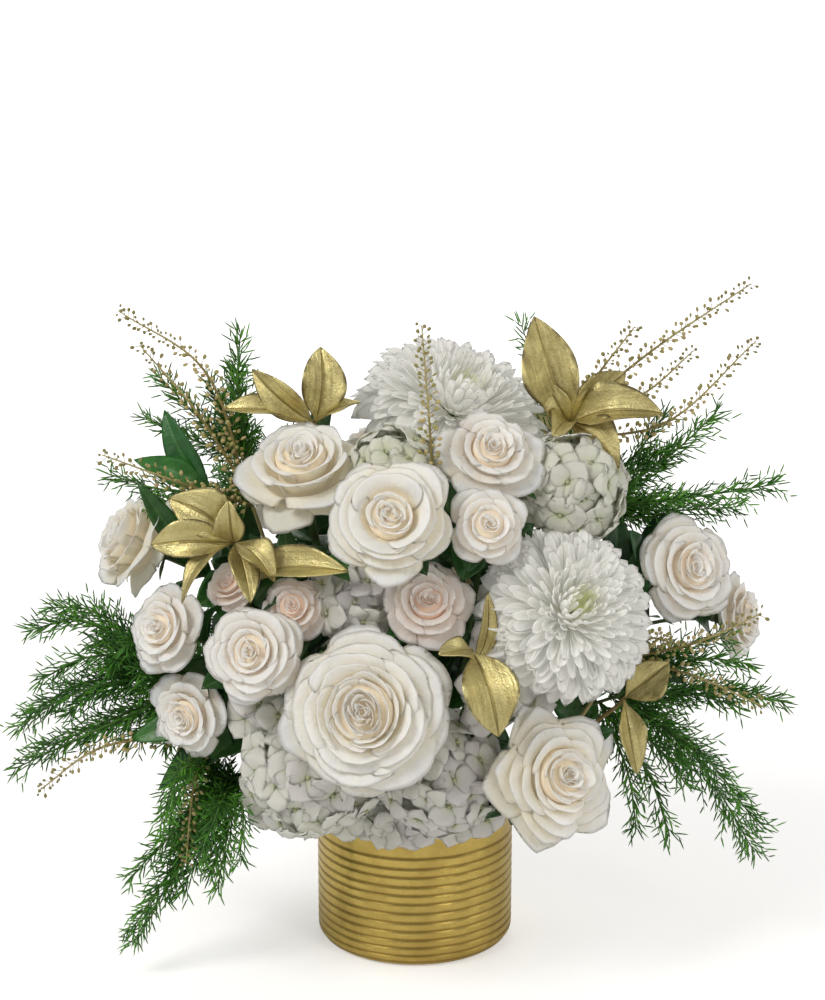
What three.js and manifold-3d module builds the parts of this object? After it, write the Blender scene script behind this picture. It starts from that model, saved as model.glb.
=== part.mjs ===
// A floral table centerpiece: roses, spray roses, chrysanthemums, hydrangea heads, gilded leaves,
// fern and seed sprays, standing in a block of floral foam in a ribbed gold vase.
// Millimetres, +Z up. The origin is the centre of the vase's flat foot, and the front faces -Y.
import * as THREE from "three";
import { mergeVertices } from "three/addons/utils/BufferGeometryUtils.js";
import Module from "manifold-3d";

const wasm = await Module();
wasm.setup();

// ---------------------------------------------------------------- driving dimensions

const radians = THREE.MathUtils.degToRad;

const GAP = 0.3; // between solids that touch in the real thing

const VASE = { radius: 65, height: 115, wall: 5, floor: 6, footRadius: 57, footHeight: 7, sides: 24 };
const GROOVE_HEIGHTS = [14, 22, 30, 38, 46, 53.5, 61, 68.5, 77];
const GROOVE_DEPTH = 1.3;

const VASE_EDGES = { footRise: 0.35, footInset: 2, band: 2.5, lip: 1.5 }; // footRise is a share of footHeight

const FOAM = { radius: 59.6, top: 138, chamfer: 5 };
const STEM_FOCUS = new THREE.Vector3(0, 0, 60); // the point in the foam that every stem aims at
const STEM_PLUNGE = 28; // how far a stem runs inside the foam
const STEM_LEAD = 3; // the straight stretch of a stem above the foam
const HOLE_CLEARANCE = 0.3;
const HOLE_RUNOUT = 12; // how far a hole's cutter stands out of the foam

const ROSE_STEM = { root: 2.6, tip: 2.2, sides: 5 };
const CALYX_LENGTH = 5; // the straight cup under a bloom
const ROSE_CALYX = 0.12; // radius of the stem's end under a rose, as a share of the rose's radius
const STEM_PULL = 0.38; // how far a stem keeps its direction at both ends, as a share of its length
const SPRAY_STEM = { root: 2.2, tip: 1.3, sides: 4 };
const SPRAY_TRUNK_RADII = [2.2, 2.2, 2.1, 2, 1.8];
const SPRAY_SIDE_RADII = [1.7, 1.5, 1.4, 1.3];
const SPRAY_CALYX = 0.13;
const SPRAY_PULL = 0.35;
const FORK_OVERLAP = 3; // how far below the fork a side stem starts
const TWIG = { root: 1.6, tip: 1, sides: 3 };

// Each stem's foot: where it enters the foam. The top feet lie on the foam's top, and the side feet above
// the vase's rim, halfway across the foam's flat sides.
const SIDE_FOOT = { radius: FOAM.radius * Math.cos(Math.PI / VASE.sides), height: 127 };
const topFoot = (azimuth, radius) => polarPoint(azimuth, radius, FOAM.top);
const sideFoot = (azimuth) => polarPoint(azimuth, SIDE_FOOT.radius, SIDE_FOOT.height);

// Large roses: base is the point where stem and bloom meet, and facing points out of the open face.
const ROSES = {
  rose_front: {
    base: [-28, -133, 199], facing: [-0.12, -0.93, 0.35], radius: 50, spin: 10, foot: sideFoot(-102),
  },
  rose_right_low: {
    base: [79, -111, 151], facing: [0.45, -0.85, 0.3], radius: 46, spin: 40, foot: sideFoot(-52),
  },
  rose_upper_left: {
    base: [-68, -42, 313], facing: [-0.1, -0.45, 0.88], radius: 44, spin: 0, foot: topFoot(-150, 28),
  },
  rose_centre: {
    base: [-14, -104, 310], facing: [-0.05, -0.85, 0.5], radius: 38, spin: 25, foot: topFoot(-85, 32),
  },
  rose_far_left: {
    base: [-168, -4, 266], facing: [-0.8, -0.3, 0.45], radius: 38, spin: 60, foot: topFoot(178, 46),
  },
  rose_back: {
    base: [10, 98, 232], facing: [0.1, 0.9, 0.4], radius: 47, spin: 15, foot: topFoot(88, 46),
  },
};

// Spray roses, by the branching stem that carries them. The fork is where the side stems part.
const SPRAYS = {
  spray_top: {
    foot: topFoot(-52, 30),
    fork: [40, -50, 262],
    blooms: {
      spray_rose_top: { base: [45, -54, 335], facing: [0.15, -0.7, 0.7], radius: 34, spin: 0 },
      spray_rose_cup: { base: [43, -97, 305], facing: [0.1, -0.9, 0.4], radius: 25, spin: 30 },
    },
  },
  spray_blush_centre: {
    foot: topFoot(-76, 48),
    fork: [6, -72, 212],
    blooms: { spray_rose_blush: { base: [8, -97, 253], facing: [0, -0.8, 0.6], radius: 29, spin: 50 } },
  },
  spray_blush_left: {
    foot: topFoot(-124, 46),
    fork: [-66, -62, 212],
    blooms: {
      spray_rose_pink: { base: [-74, -86, 249], facing: [-0.1, -0.85, 0.5], radius: 22, spin: 20 },
      spray_rose_bud: { base: [-110, -80, 260], facing: [-0.4, -0.6, 0.7], radius: 19, spin: 70 },
    },
  },
  spray_left: {
    foot: topFoot(-152, 50),
    fork: [-100, -62, 188],
    blooms: {
      spray_rose_left_inner: { base: [-96, -114, 231], facing: [-0.25, -0.9, 0.35], radius: 31, spin: 0 },
      spray_rose_left_outer: { base: [-150, -70, 232], facing: [-0.55, -0.75, 0.35], radius: 29, spin: 35 },
      spray_rose_left_low: { base: [-136, -77, 181], facing: [-0.5, -0.85, 0.05], radius: 29, spin: 10 },
    },
  },
  spray_right: {
    foot: topFoot(-10, 50),
    fork: [128, -14, 208],
    blooms: {
      spray_rose_right: { base: [169, -28, 259], facing: [0.45, -0.8, 0.35], radius: 35, spin: 15 },
      spray_rose_right_outer: { base: [202, 2, 219], facing: [0.85, -0.1, 0.1], radius: 29, spin: 45 },
    },
  },
  spray_back: {
    foot: topFoot(118, 32),
    fork: [-38, 62, 230],
    blooms: {
      spray_rose_back_left: { base: [-78, 86, 272], facing: [-0.5, 0.75, 0.5], radius: 32, spin: 0 },
      spray_rose_back_top: { base: [-14, 70, 312], facing: [-0.05, 0.6, 0.8], radius: 30, spin: 30 },
    },
  },
};

// Chrysanthemums: base is the centre that the petals spring from.
const MUMS = {
  chrysanthemum_top: {
    base: [24, 22, 349], facing: [0.35, -0.35, 0.87], radius: 58, spin: 7, foot: topFoot(-40, 4),
  },
  chrysanthemum_right: {
    base: [93, -94, 250], facing: [0.35, -0.75, 0.55], radius: 50, spin: 8, foot: topFoot(-46, 49),
  },
};

// Hydrangea heads: base is the centre of the ball of florets.
const HYDRANGEAS = {
  hydrangea_front_left: { base: [-78, -93, 148], radius: 52, foot: sideFoot(-133) },
  hydrangea_front_right: { base: [15, -98, 148], radius: 38, foot: sideFoot(-79) },
  hydrangea_centre: { base: [-37, -74, 255], radius: 28, foot: topFoot(-108, 30) },
  hydrangea_top_left: { base: [-13, -52, 331], radius: 25, foot: topFoot(-110, 14) },
  hydrangea_top_right: { base: [98, -38, 314], radius: 34, foot: topFoot(-20, 32) },
  hydrangea_back_left: { base: [-84, 74, 184], radius: 46, foot: topFoot(140, 48) },
  hydrangea_back_right: { base: [78, 82, 196], radius: 46, foot: topFoot(48, 48) },
};

// Leafy sprigs. Each leaf has its tip, its width and the way its upper face looks. It grows from the end
// of the path, or from as many points back as it says.
const GOLD_SPRIGS = {
  gold_leaves_top_left: {
    path: [topFoot(170, 26), [-40, 6, 220], [-56, 2, 300], [-64, -10, 352]],
    leaves: [
      { tip: [-60, -4, 400], width: 30, up: [0.2, -0.9, 0.2] },
      { tip: [-103, -16, 388], width: 22, up: [-0.4, -0.7, 0.5] },
      { tip: [-122, -20, 363], width: 22, up: [0, -0.6, 0.8] },
      { tip: [-34, -12, 366], width: 17, up: [0.1, -0.5, 0.8] },
    ],
  },
  gold_leaves_left: {
    path: [topFoot(-166, 46), [-78, -38, 205], [-104, -60, 262], [-112, -74, 290]],
    leaves: [
      { tip: [-152, -72, 318], width: 30, up: [0, -0.8, 0.6] },
      { tip: [-163, -82, 291], width: 24, up: [0, -0.8, 0.5] },
      { tip: [-114, -86, 320], width: 20, up: [-0.2, -0.9, 0.2] },
      { tip: [-86, -100, 272], width: 24, up: [0.3, -0.7, 0.6] },
      { tip: [-142, -106, 260], width: 16, up: [-0.3, -0.6, 0.7] },
    ],
  },
  gold_leaves_right: {
    path: [topFoot(-2, 18), [64, -2, 230], [88, -2, 310], [98, -12, 352]],
    leaves: [
      { tip: [75, -12, 421], width: 36, up: [-0.1, -0.95, 0.1] },
      { tip: [156, -28, 362], width: 32, up: [0.1, -0.7, 0.7] },
      { tip: [134, -6, 384], width: 24, up: [0, -0.9, 0.4] },
      { tip: [86, -40, 350], width: 18, up: [0, -0.5, 0.85] },
    ],
  },
  gold_leaves_front: {
    path: [topFoot(-64, 47), [34, -84, 190], [36, -108, 222], [34, -124, 236]],
    leaves: [
      { tip: [14, -146, 240], width: 18, up: [0.3, -0.7, 0.6] },
      { tip: [50, -150, 190], width: 36, up: [0.1, -0.95, 0.3] },
    ],
  },
  gold_leaves_low_right: {
    path: [sideFoot(-36), [92, -56, 152], [124, -62, 176], [132, -66, 186]],
    leaves: [
      { tip: [160, -68, 210], width: 26, up: [0.2, -0.9, 0.3] },
      { tip: [140, -80, 140], width: 22, up: [0.3, -0.9, 0.1] },
    ],
  },
  gold_leaves_back: {
    path: [topFoot(72, 30), [34, 56, 220], [54, 72, 285], [58, 76, 322]],
    leaves: [
      { tip: [96, 86, 356], width: 28, up: [0, 0.8, 0.6] },
      { tip: [36, 84, 374], width: 30, up: [0, 0.9, 0.3] },
      { tip: [102, 104, 314], width: 26, up: [0.2, 0.6, 0.8] },
    ],
  },
};

const GREEN_SPRIGS = {
  green_leaves_left: {
    path: [topFoot(-177, 34), [-86, -8, 215], [-120, -14, 272], [-130, -14, 308]],
    leaves: [
      { tip: [-160, -8, 360], width: 20, up: [-0.2, -0.9, 0.3] },
      { tip: [-178, -28, 332], width: 18, up: [-0.2, -0.8, 0.6] },
      { back: 2, tip: [-128, -2, 196], width: 24, up: [-0.2, -0.5, 0.8] },
    ],
  },
  green_leaves_right: {
    path: [topFoot(6, 50), [96, 2, 210], [130, -10, 246], [140, -20, 262]],
    leaves: [
      { tip: [134, -52, 292], width: 18, up: [0.2, -0.8, 0.5] },
      { back: 2, tip: [132, 30, 232], width: 26, up: [0.3, 0.2, 0.9] },
      { tip: [170, 8, 290], width: 22, up: [0.2, 0.4, 0.9] },
    ],
  },
};

// Fern: one stem with plumes. Each plume runs along its points and bears needles on both sides.
const FERNS = {
  fern_left: {
    path: [sideFoot(-174), [-92, -22, 158], [-136, -34, 186], [-168, -40, 208]],
    plumes: [
      { points: [[-166, -39, 206], [-219, -45, 231], [-262, -50, 225]], needle: 34 },
      { points: [[-150, -37, 196], [-219, -56, 192], [-255, -70, 176]], needle: 34 },
      { points: [[-138, -35, 186], [-200, -50, 164], [-241, -66, 150]], needle: 32 },
    ],
  },
  fern_low_left: {
    path: [sideFoot(-160), [-92, -20, 132], [-122, -36, 118]],
    plumes: [
      { points: [[-120, -35, 119], [-152, -66, 78], [-183, -78, 32]], needle: 30 },
      { points: [[-118, -34, 119], [-134, -60, 92], [-150, -72, 56]], needle: 24 },
    ],
  },
  fern_upper_left: {
    path: [topFoot(152, 30), [-64, 16, 220], [-96, 10, 300], [-112, 4, 330]],
    plumes: [
      { points: [[-110, 5, 326], [-141, -2, 356], [-163, 0, 380]], needle: 26 },
      { points: [[-108, 6, 322], [-114, 14, 370], [-112, 10, 406]], needle: 24 },
      { points: [[-98, 10, 302], [-160, 20, 300], [-200, 16, 312]], needle: 28 },
    ],
  },
  fern_upper_right: {
    path: [topFoot(16, 34), [72, 18, 220], [100, 14, 280], [112, 8, 296]],
    plumes: [
      { points: [[110, 9, 293], [172, -8, 302], [230, -20, 314]], needle: 34 },
      { points: [[106, 11, 288], [160, 22, 318], [196, 20, 352]], needle: 32 },
      { points: [[98, 14, 276], [92, 52, 340], [70, 54, 404]], needle: 26 },
    ],
  },
  fern_right: {
    path: [sideFoot(-8), [98, -18, 158], [134, -34, 178]],
    plumes: [
      { points: [[132, -33, 177], [178, -44, 204], [214, -44, 202]], needle: 30 },
      { points: [[130, -32, 176], [180, -46, 140], [222, -42, 72]], needle: 38 },
      { points: [[120, -28, 170], [150, -52, 130], [164, -60, 90]], needle: 28 },
      { points: [[126, -30, 174], [196, -18, 176], [240, -26, 170]], needle: 30 },
    ],
  },
  fern_back: {
    path: [sideFoot(100), [-22, 96, 150], [-30, 124, 168]],
    plumes: [
      { points: [[-30, 122, 167], [-58, 152, 170], [-92, 160, 152]], needle: 30 },
      { points: [[-29, 122, 167], [6, 158, 168], [36, 164, 148]], needle: 30 },
    ],
  },
};

// Seed sprays: long thin stems set all round with small round pods on short stalks.
const SEED_SPRAYS = {
  seeds_upper_left: {
    path: [topFoot(164, 46), [-84, 6, 230], [-108, -14, 310]],
    plumes: [
      { points: [[-107, -14, 306], [-132, -18, 386], [-186, -20, 426]] },
      { points: [[-106, -13, 304], [-136, -26, 360], [-172, -30, 406]] },
      { points: [[-104, -12, 298], [-146, -50, 322], [-194, -58, 342]] },
    ],
  },
  seeds_low_left: {
    path: [sideFoot(-147), [-98, -38, 146], [-138, -52, 156]],
    plumes: [
      { points: [[-136, -51, 156], [-196, -78, 158], [-237, -88, 132]] },
      { points: [[-134, -50, 155], [-140, -88, 130], [-144, -100, 88]] },
    ],
  },
  seeds_upper_right: {
    path: [topFoot(34, 20), [52, 26, 230], [84, 18, 320], [98, 14, 350]],
    plumes: [
      { points: [[96, 15, 346], [152, 6, 396], [213, 0, 440]] },
      { points: [[96, 15, 346], [118, 10, 380], [140, 2, 412]] },
      { points: [[94, 16, 340], [146, 10, 366], [178, 4, 396]] },
      { points: [[92, 16, 336], [160, -2, 350], [215, -16, 406]] },
    ],
  },
  seeds_right: {
    path: [sideFoot(-22), [104, -36, 160], [126, -44, 204]],
    plumes: [
      { points: [[126, -44, 203], [172, -58, 200], [218, -86, 187]] },
      { points: [[126, -44, 203], [178, -62, 222], [217, -66, 242]] },
      { points: [[126, -44, 203], [146, -56, 222], [158, -88, 230]] },
    ],
  },
  seeds_top: {
    path: [topFoot(-68, 16), [14, -36, 240], [11, -64, 322]],
    plumes: [{ points: [[11, -64, 322], [9, -76, 362], [4, -62, 424]] }],
  },
};

// ---------------------------------------------------------------- bloom forms

// Petal layers from the outside in: polar is the rim's angle from the bloom's axis in degrees, and reach
// its distance from the base as a share of the radius. A tip above zero makes the petals pointed.
const BACK_REACH = 0.16; // from a rose's base to the point of its back
const ROSE_FORM = {
  columns: 20,
  samples: 4,
  calyx: [
    { polar: 180, reach: BACK_REACH },
    { polar: 110, reach: 0.32 },
    { polar: 92, reach: 0.8 },
  ],
  layers: [
    { polar: 75, reach: 1.04, tip: 0.16, valley: 0.86 },
    { polar: 56, reach: 1.03, tip: 0.13, valley: 0.82 },
    { polar: 37, reach: 0.99, tip: 0.08, valley: 0.76 },
    { polar: 15, reach: 0.93, tip: 0.04, valley: 0 },
  ],
  eye: 0.7,
};
const SPRAY_ROSE_FORM = {
  columns: 15,
  samples: 3,
  calyx: [
    { polar: 180, reach: BACK_REACH },
    { polar: 110, reach: 0.34 },
    { polar: 92, reach: 0.8 },
  ],
  layers: [
    { polar: 73, reach: 1.06, tip: 0.14, valley: 0.84 },
    { polar: 45, reach: 1.03, tip: 0.1, valley: 0.78 },
    { polar: 17, reach: 0.96, tip: 0.05, valley: 0 },
  ],
  eye: 0.72,
};
const MUM_FORM = {
  columns: 24,
  samples: 2,
  calyx: [
    { polar: 180, reach: 0.16 },
    { polar: 128, reach: 0.4 },
  ],
  layers: [
    { polar: 102, reach: 0.8, tip: 0.36, valley: 0.66 },
    { polar: 83, reach: 0.84, tip: 0.34, valley: 0.64 },
    { polar: 63, reach: 0.81, tip: 0.29, valley: 0.61 },
    { polar: 43, reach: 0.76, tip: 0.22, valley: 0.58 },
    { polar: 20, reach: 0.7, tip: 0.13, valley: 0 },
  ],
  eye: 0.62,
};
const PETAL_OVERLAP = 5; // degrees by which one edge of a petal stands out over its neighbour

// Florets of a hydrangea head. size, core, root and rim are shares of the head's radius.
const FLORET = { count: 10, size: 0.42, dip: 1.2, core: 0.72, root: 0.43, rim: [0.94, 1.04], room: 0.9 };
const STEM_SIDE = 0.88; // florets nearer than this to the stem's direction are left out
// A floret petal's three corners: turn from the petal's axis in degrees, reach, and lift in millimetres.
const PETAL_CORNERS = [[-45, 0.5, -1.5], [-19, 1, 0.6], [19, 1, -0.6]];
const GOLDEN_ANGLE = Math.PI * (3 - Math.sqrt(5));
// A leaf: root is how far it starts inside its twig, arch is a share of its length and cup of its half
// width. Each section has its place along the leaf and its half width, as shares of the leaf's own.
const LEAF = { thickness: 1.8, root: 2.5, arch: 0.1, cup: 0.22 };
const LEAF_SECTIONS = [[0.15, 0.08], [0.48, 0.5], [0.8, 0.36]];
const VIEW_SIDE = new THREE.Vector3(0, -0.85, 0.5); // plumes lie flat to this direction
const PLUME_RADII = [1.5, 1.2, 0.6];
const NEEDLE = { spacing: 18, radius: 1, middle: 0.3, shorten: 0.6, tilt: 44, turn: 196 };
const BRANCH_RADII = [1.2, 1, 0.6];
const POD = { spacing: 21, stalk: 6, radius: 2.1, tilt: 58, turn: 137 };
const SHOOT_ROOT = 0.5; // how far a needle or a pod's stalk starts inside what it grows from

// ---------------------------------------------------------------- finishes

function finish(color, roughness, metalness = 0) {
  return new THREE.MeshStandardMaterial({ color, roughness, metalness });
}

const FINISHES = {
  vase: finish(0xb08d3c, 0.32, 0.95),
  foam: finish(0x2f5a34, 0.95),
  rose: finish(0xf3eee2, 0.6),
  blush: finish(0xf0ddd0, 0.6),
  mum: finish(0xf7f7f4, 0.6),
  hydrangea: finish(0xe6e4e8, 0.65),
  gold: finish(0xa98b45, 0.4, 0.7),
  fern: finish(0x2f6b2a, 0.7),
  leaf: finish(0x1f5a25, 0.5),
  seeds: finish(0x8f8038, 0.75),
  stem: finish(0x5f8a45, 0.65),
};
const BLUSH_BLOOMS = ["spray_rose_blush", "spray_rose_pink", "spray_rose_bud"];

// ---------------------------------------------------------------- geometry helpers

const vector = (values) => (values.isVector3 ? values.clone() : new THREE.Vector3(...values));

function polarPoint(azimuth, radius, height) {
  const angle = radians(azimuth);
  return [radius * Math.cos(angle), radius * Math.sin(angle), height];
}

/** A repeatable random stream in 0 to 1. */
function randomStream(seed) {
  let state = seed;
  return () => {
    state = (state * 16807) % 2147483647;
    return state / 2147483647;
  };
}

/** A closed surface through a list of sections. Each is a ring of points; a single point closes an end. */
function skin(sections) {
  const points = [];
  const starts = sections.map((section) => points.push(...section) - section.length);
  const faces = [];
  for (let s = 1; s < sections.length; s++) {
    const [below, above] = [sections[s - 1], sections[s]];
    const count = Math.max(below.length, above.length);
    for (let k = 0; k < count; k++) {
      const next = (k + 1) % count;
      const a = starts[s - 1] + (k % below.length);
      const b = starts[s - 1] + (next % below.length);
      const c = starts[s] + (next % above.length);
      const d = starts[s] + (k % above.length);
      // Alternate quads are split the other way, so a blade's two faces are split alike.
      const pair = k % 2 ? [[a, b, d], [b, c, d]] : [[a, b, c], [a, c, d]];
      for (const [p, q, r] of pair) if (p !== q && q !== r && r !== p) faces.push(p, q, r);
    }
  }
  const geometry = new THREE.BufferGeometry().setFromPoints(points);
  geometry.setIndex(faces);
  return volumeOf(points, faces) < 0 ? turnedInsideOut(geometry) : geometry;
}

function volumeOf(points, faces) {
  let six = 0;
  for (let i = 0; i < faces.length; i += 3) {
    const [a, b, c] = [points[faces[i]], points[faces[i + 1]], points[faces[i + 2]]];
    six += a.dot(new THREE.Vector3().crossVectors(b, c));
  }
  return six / 6;
}

function turnedInsideOut(geometry) {
  geometry.setIndex(Array.from(geometry.index.array).reverse());
  return geometry;
}

/** A round bar through the given points, with a radius at each, closed by flat ends. */
function bar(points, radii, sides) {
  const spine = points.map(vector);
  const tangents = spine.map((_, i) => {
    const before = spine[Math.max(i - 1, 0)];
    const after = spine[Math.min(i + 1, spine.length - 1)];
    return after.clone().sub(before).normalize();
  });
  const reference = Math.abs(tangents[0].z) < 0.9 ? new THREE.Vector3(0, 0, 1) : new THREE.Vector3(1, 0, 0);
  let across = new THREE.Vector3().crossVectors(tangents[0], reference).normalize();
  const rings = spine.map((centre, i) => {
    across = across.clone().addScaledVector(tangents[i], -across.dot(tangents[i])).normalize();
    const other = new THREE.Vector3().crossVectors(tangents[i], across);
    return Array.from({ length: sides }, (_, k) => {
      const angle = (2 * Math.PI * k) / sides;
      return centre
        .clone()
        .addScaledVector(across, radii[i] * Math.cos(angle))
        .addScaledVector(other, radii[i] * Math.sin(angle));
    });
  });
  return skin([[spine[0]], ...rings, [spine[spine.length - 1]]]);
}

function solidOf(geometry) {
  const plain = geometry.clone();
  plain.deleteAttribute("normal");
  plain.deleteAttribute("uv");
  const merged = mergeVertices(plain, 1e-3);
  return new wasm.Manifold(
    new wasm.Mesh({
      numProp: 3,
      vertProperties: new Float32Array(merged.attributes.position.array),
      triVerts: new Uint32Array(merged.index.array),
    }),
  );
}

function geometryOf(solid) {
  const { vertProperties, triVerts } = solid.getMesh();
  const geometry = new THREE.BufferGeometry();
  geometry.setAttribute("position", new THREE.BufferAttribute(new Float32Array(vertProperties), 3));
  geometry.setIndex(new THREE.BufferAttribute(new Uint32Array(triVerts), 1));
  return geometry;
}

/** Joins overlapping pieces into one body; a scrap that touches nothing is dropped. */
function fuse(geometries) {
  const joined = wasm.Manifold.union(geometries.map(solidOf));
  const bodies = joined.decompose().sort((a, b) => b.volume() - a.volume());
  return geometryOf(bodies[0]);
}

// ---------------------------------------------------------------- keeping clear of neighbours

const blooms = []; // blooms already placed: { name, base, facing, radius, form }
const balls = []; // small spheres along everything else: { name, centre, radius }

function reachAt(form, polar) {
  const profile = [...form.calyx, ...form.layers.map((l) => ({ polar: l.polar, reach: l.reach + l.tip }))];
  profile.push({ polar: 0, reach: form.layers[form.layers.length - 1].reach });
  for (let i = 1; i < profile.length; i++) {
    const [low, high] = [profile[i - 1], profile[i]];
    if (polar >= high.polar) {
      const share = (low.polar - polar) / (low.polar - high.polar);
      return THREE.MathUtils.lerp(low.reach, high.reach, share);
    }
  }
  return profile[profile.length - 1].reach;
}

/** True where a sphere at the point stays out of every placed piece but its own node's. */
function isClear(point, margin, owner) {
  if (Math.hypot(point.x, point.y) < VASE.radius + margin && point.z < FOAM.top + margin) return false;
  for (const bloom of blooms) {
    if (bloom.name === owner) continue;
    const offset = point.clone().sub(bloom.base);
    const distance = offset.length();
    const polar = THREE.MathUtils.radToDeg(offset.angleTo(bloom.facing));
    if (distance < bloom.radius * reachAt(bloom.form, polar) + margin) return false;
  }
  return balls.every((ball) => ball.name === owner || point.distanceTo(ball.centre) > ball.radius + margin);
}

function claim(name, points, radius) {
  for (const point of points) balls.push({ name, centre: vector(point), radius });
}

/** Points along a line of straight stretches, no further apart than the step. */
function spread(corners, step) {
  const line = straightStretches(corners);
  return line.getSpacedPoints(Math.max(1, Math.ceil(line.getLength() / step)));
}

function straightStretches(corners) {
  const line = new THREE.CurvePath();
  for (let i = 1; i < corners.length; i++) line.add(new THREE.LineCurve3(corners[i - 1], corners[i]));
  return line;
}

// ---------------------------------------------------------------- stems and their holes

const holes = []; // { foot, inner, radius, sides }, cut from the foam at the end

/** The straight stretch of a stem inside the foam, as its inner end and its foot. */
function plunge(foot, radius, sides) {
  const entry = vector(foot);
  const outward = entry.clone().sub(STEM_FOCUS).normalize();
  const inner = entry.clone().addScaledVector(outward, -STEM_PLUNGE);
  holes.push({ entry, inner, outward, radius, sides });
  return { inner, outward, exit: entry.clone().addScaledVector(outward, STEM_LEAD) };
}

/** A bloom's stem: straight in the foam, then one curve that arrives square to the bloom's back. */
function bloomStem(name, foot, head, facing, size, calyx = size.tip) {
  const { inner, outward, exit } = plunge(foot, size.root, size.sides);
  const curve = bend(exit, outward, head.clone().addScaledVector(facing, -CALYX_LENGTH), facing, STEM_PULL);
  const radii = [size.root, size.root, size.root, size.root, size.tip, calyx];
  claim(name, curve.getPoints(24), size.root + 0.4);
  return bar([inner, ...curve.getPoints(3), head], radii, size.sides);
}

/** A curve that leaves one point and arrives at another in the given directions. */
function bend(start, leaving, end, arriving, share) {
  const pull = start.distanceTo(end) * share;
  return new THREE.CubicBezierCurve3(
    start,
    start.clone().addScaledVector(leaving, pull),
    end.clone().addScaledVector(arriving, -pull),
    end,
  );
}

/** A twig through hand-set points, after its straight stretch in the foam. */
function twig(name, path) {
  const { inner, exit } = plunge(path[0], TWIG.root, TWIG.sides);
  const spine = [exit, ...path.slice(1).map(vector)];
  const taper = spine.map((_, i) => THREE.MathUtils.lerp(TWIG.root, TWIG.tip, i / path.length));
  claim(name, spread(spine, 5), TWIG.root + 0.3);
  return bar([inner, ...spine], [TWIG.root, ...taper], TWIG.sides);
}

// ---------------------------------------------------------------- petals

/**
 * A bloom as one closed surface about its base: rings of petal rims with valleys between them. Every ring
 * keeps its angle from the axis below the one outside it, so the surface never crosses itself.
 */
function rosette(form, radius) {
  const { columns, samples, calyx, layers, eye } = form;
  const rims = layers.map((layer, index) =>
    Array.from({ length: columns }, (_, k) => {
      const shift = index % 2 ? Math.floor(samples / 2) : 0;
      const along = ((k + shift) % samples) / samples; // 0 at the notch between two petals
      const rise = 1 - Math.abs(2 * along - 1); // 0 at the notch, 1 at the tip
      return {
        polar: layer.polar + (samples > 2 ? PETAL_OVERLAP * (0.5 - along) : 0),
        reach: layer.reach - layer.tip + 2 * layer.tip * rise,
      };
    }),
  );
  const place = (polar, reach, k) => {
    const angle = (2 * Math.PI * k) / columns;
    const slant = radians(polar);
    return new THREE.Vector3(
      radius * reach * Math.sin(slant) * Math.cos(angle),
      radius * reach * Math.sin(slant) * Math.sin(angle),
      radius * reach * Math.cos(slant),
    );
  };
  const sections = calyx.map(({ polar, reach }) => {
    const count = polar === 180 ? 1 : columns;
    return Array.from({ length: count }, (_, k) => place(polar, reach, k));
  });
  rims.forEach((rim, index) => {
    sections.push(rim.map(({ polar, reach }, k) => place(polar, reach, k)));
    const inner = rims[index + 1];
    if (!inner) return;
    sections.push(rim.map(({ polar }, k) => place((polar + inner[k].polar) / 2, layers[index].valley, k)));
  });
  sections.push([place(0, eye, 0)]);
  return skin(sections);
}

/** A mesh of a bloom, turned so that its axis points along its facing. */
function placeBloom(name, form, material, { base, facing, radius, spin }) {
  const axis = vector(facing).normalize();
  const mesh = new THREE.Mesh(rosette(form, radius), material);
  mesh.name = name;
  mesh.position.copy(vector(base));
  mesh.quaternion
    .setFromUnitVectors(new THREE.Vector3(0, 0, 1), axis)
    .multiply(new THREE.Quaternion().setFromAxisAngle(new THREE.Vector3(0, 0, 1), radians(spin)));
  blooms.push({ name, base: vector(base), facing: axis, radius, form });
  return mesh;
}

/** The point just behind a bloom where its stem ends. */
function seatBehind({ base, facing, radius }) {
  const axis = vector(facing).normalize();
  return { axis, seat: vector(base).addScaledVector(axis, -(BACK_REACH * radius + GAP)) };
}

/** A spray's branching stem: one trunk from the foam to the fork, and a side stem to each bloom. */
function sprayStem(name, { foot, fork, blooms: carried }) {
  const { inner, outward, exit } = plunge(foot, SPRAY_STEM.root, SPRAY_STEM.sides);
  const joint = vector(fork);
  const rise = joint.clone().sub(exit).normalize();
  const trunk = bend(exit, outward, joint, rise, SPRAY_PULL).getPoints(3);
  claim(name, spread(trunk, 5), SPRAY_STEM.root + 0.3);
  const pieces = [bar([inner, ...trunk], SPRAY_TRUNK_RADII, SPRAY_STEM.sides)];
  for (const bloom of Object.values(carried)) {
    const { axis, seat } = seatBehind(bloom);
    const start = joint.clone().addScaledVector(rise, -FORK_OVERLAP);
    const end = seat.clone().addScaledVector(axis, -CALYX_LENGTH);
    const side = bend(start, rise, end, axis, SPRAY_PULL).getPoints(3);
    claim(name, spread(side, 5), SPRAY_STEM.tip + 0.4);
    const radii = [...SPRAY_SIDE_RADII, bloom.radius * SPRAY_CALYX];
    pieces.push(bar([...side, seat], radii, SPRAY_STEM.sides));
  }
  return fuse(pieces);
}

// ---------------------------------------------------------------- hydrangea

/** A four-petalled floret: a flat cross of petals that narrows to a root point behind it. */
function floret(centre, outward, root, size, spin) {
  const side = new THREE.Vector3(0, 0, 1).cross(outward);
  if (side.lengthSq() < 1e-4) side.set(1, 0, 0);
  side.normalize();
  const up = new THREE.Vector3().crossVectors(outward, side);
  const outline = [];
  for (let petal = 0; petal < 4; petal++) {
    for (const [turn, reach, lift] of PETAL_CORNERS) {
      const angle = radians(90 * petal + turn + spin);
      outline.push(
        centre
          .clone()
          .addScaledVector(side, size * reach * Math.cos(angle))
          .addScaledVector(up, size * reach * Math.sin(angle))
          .addScaledVector(outward, lift),
      );
    }
  }
  return skin([[root], outline, [centre.clone().addScaledVector(outward, -FLORET.dip)]]);
}

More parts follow.
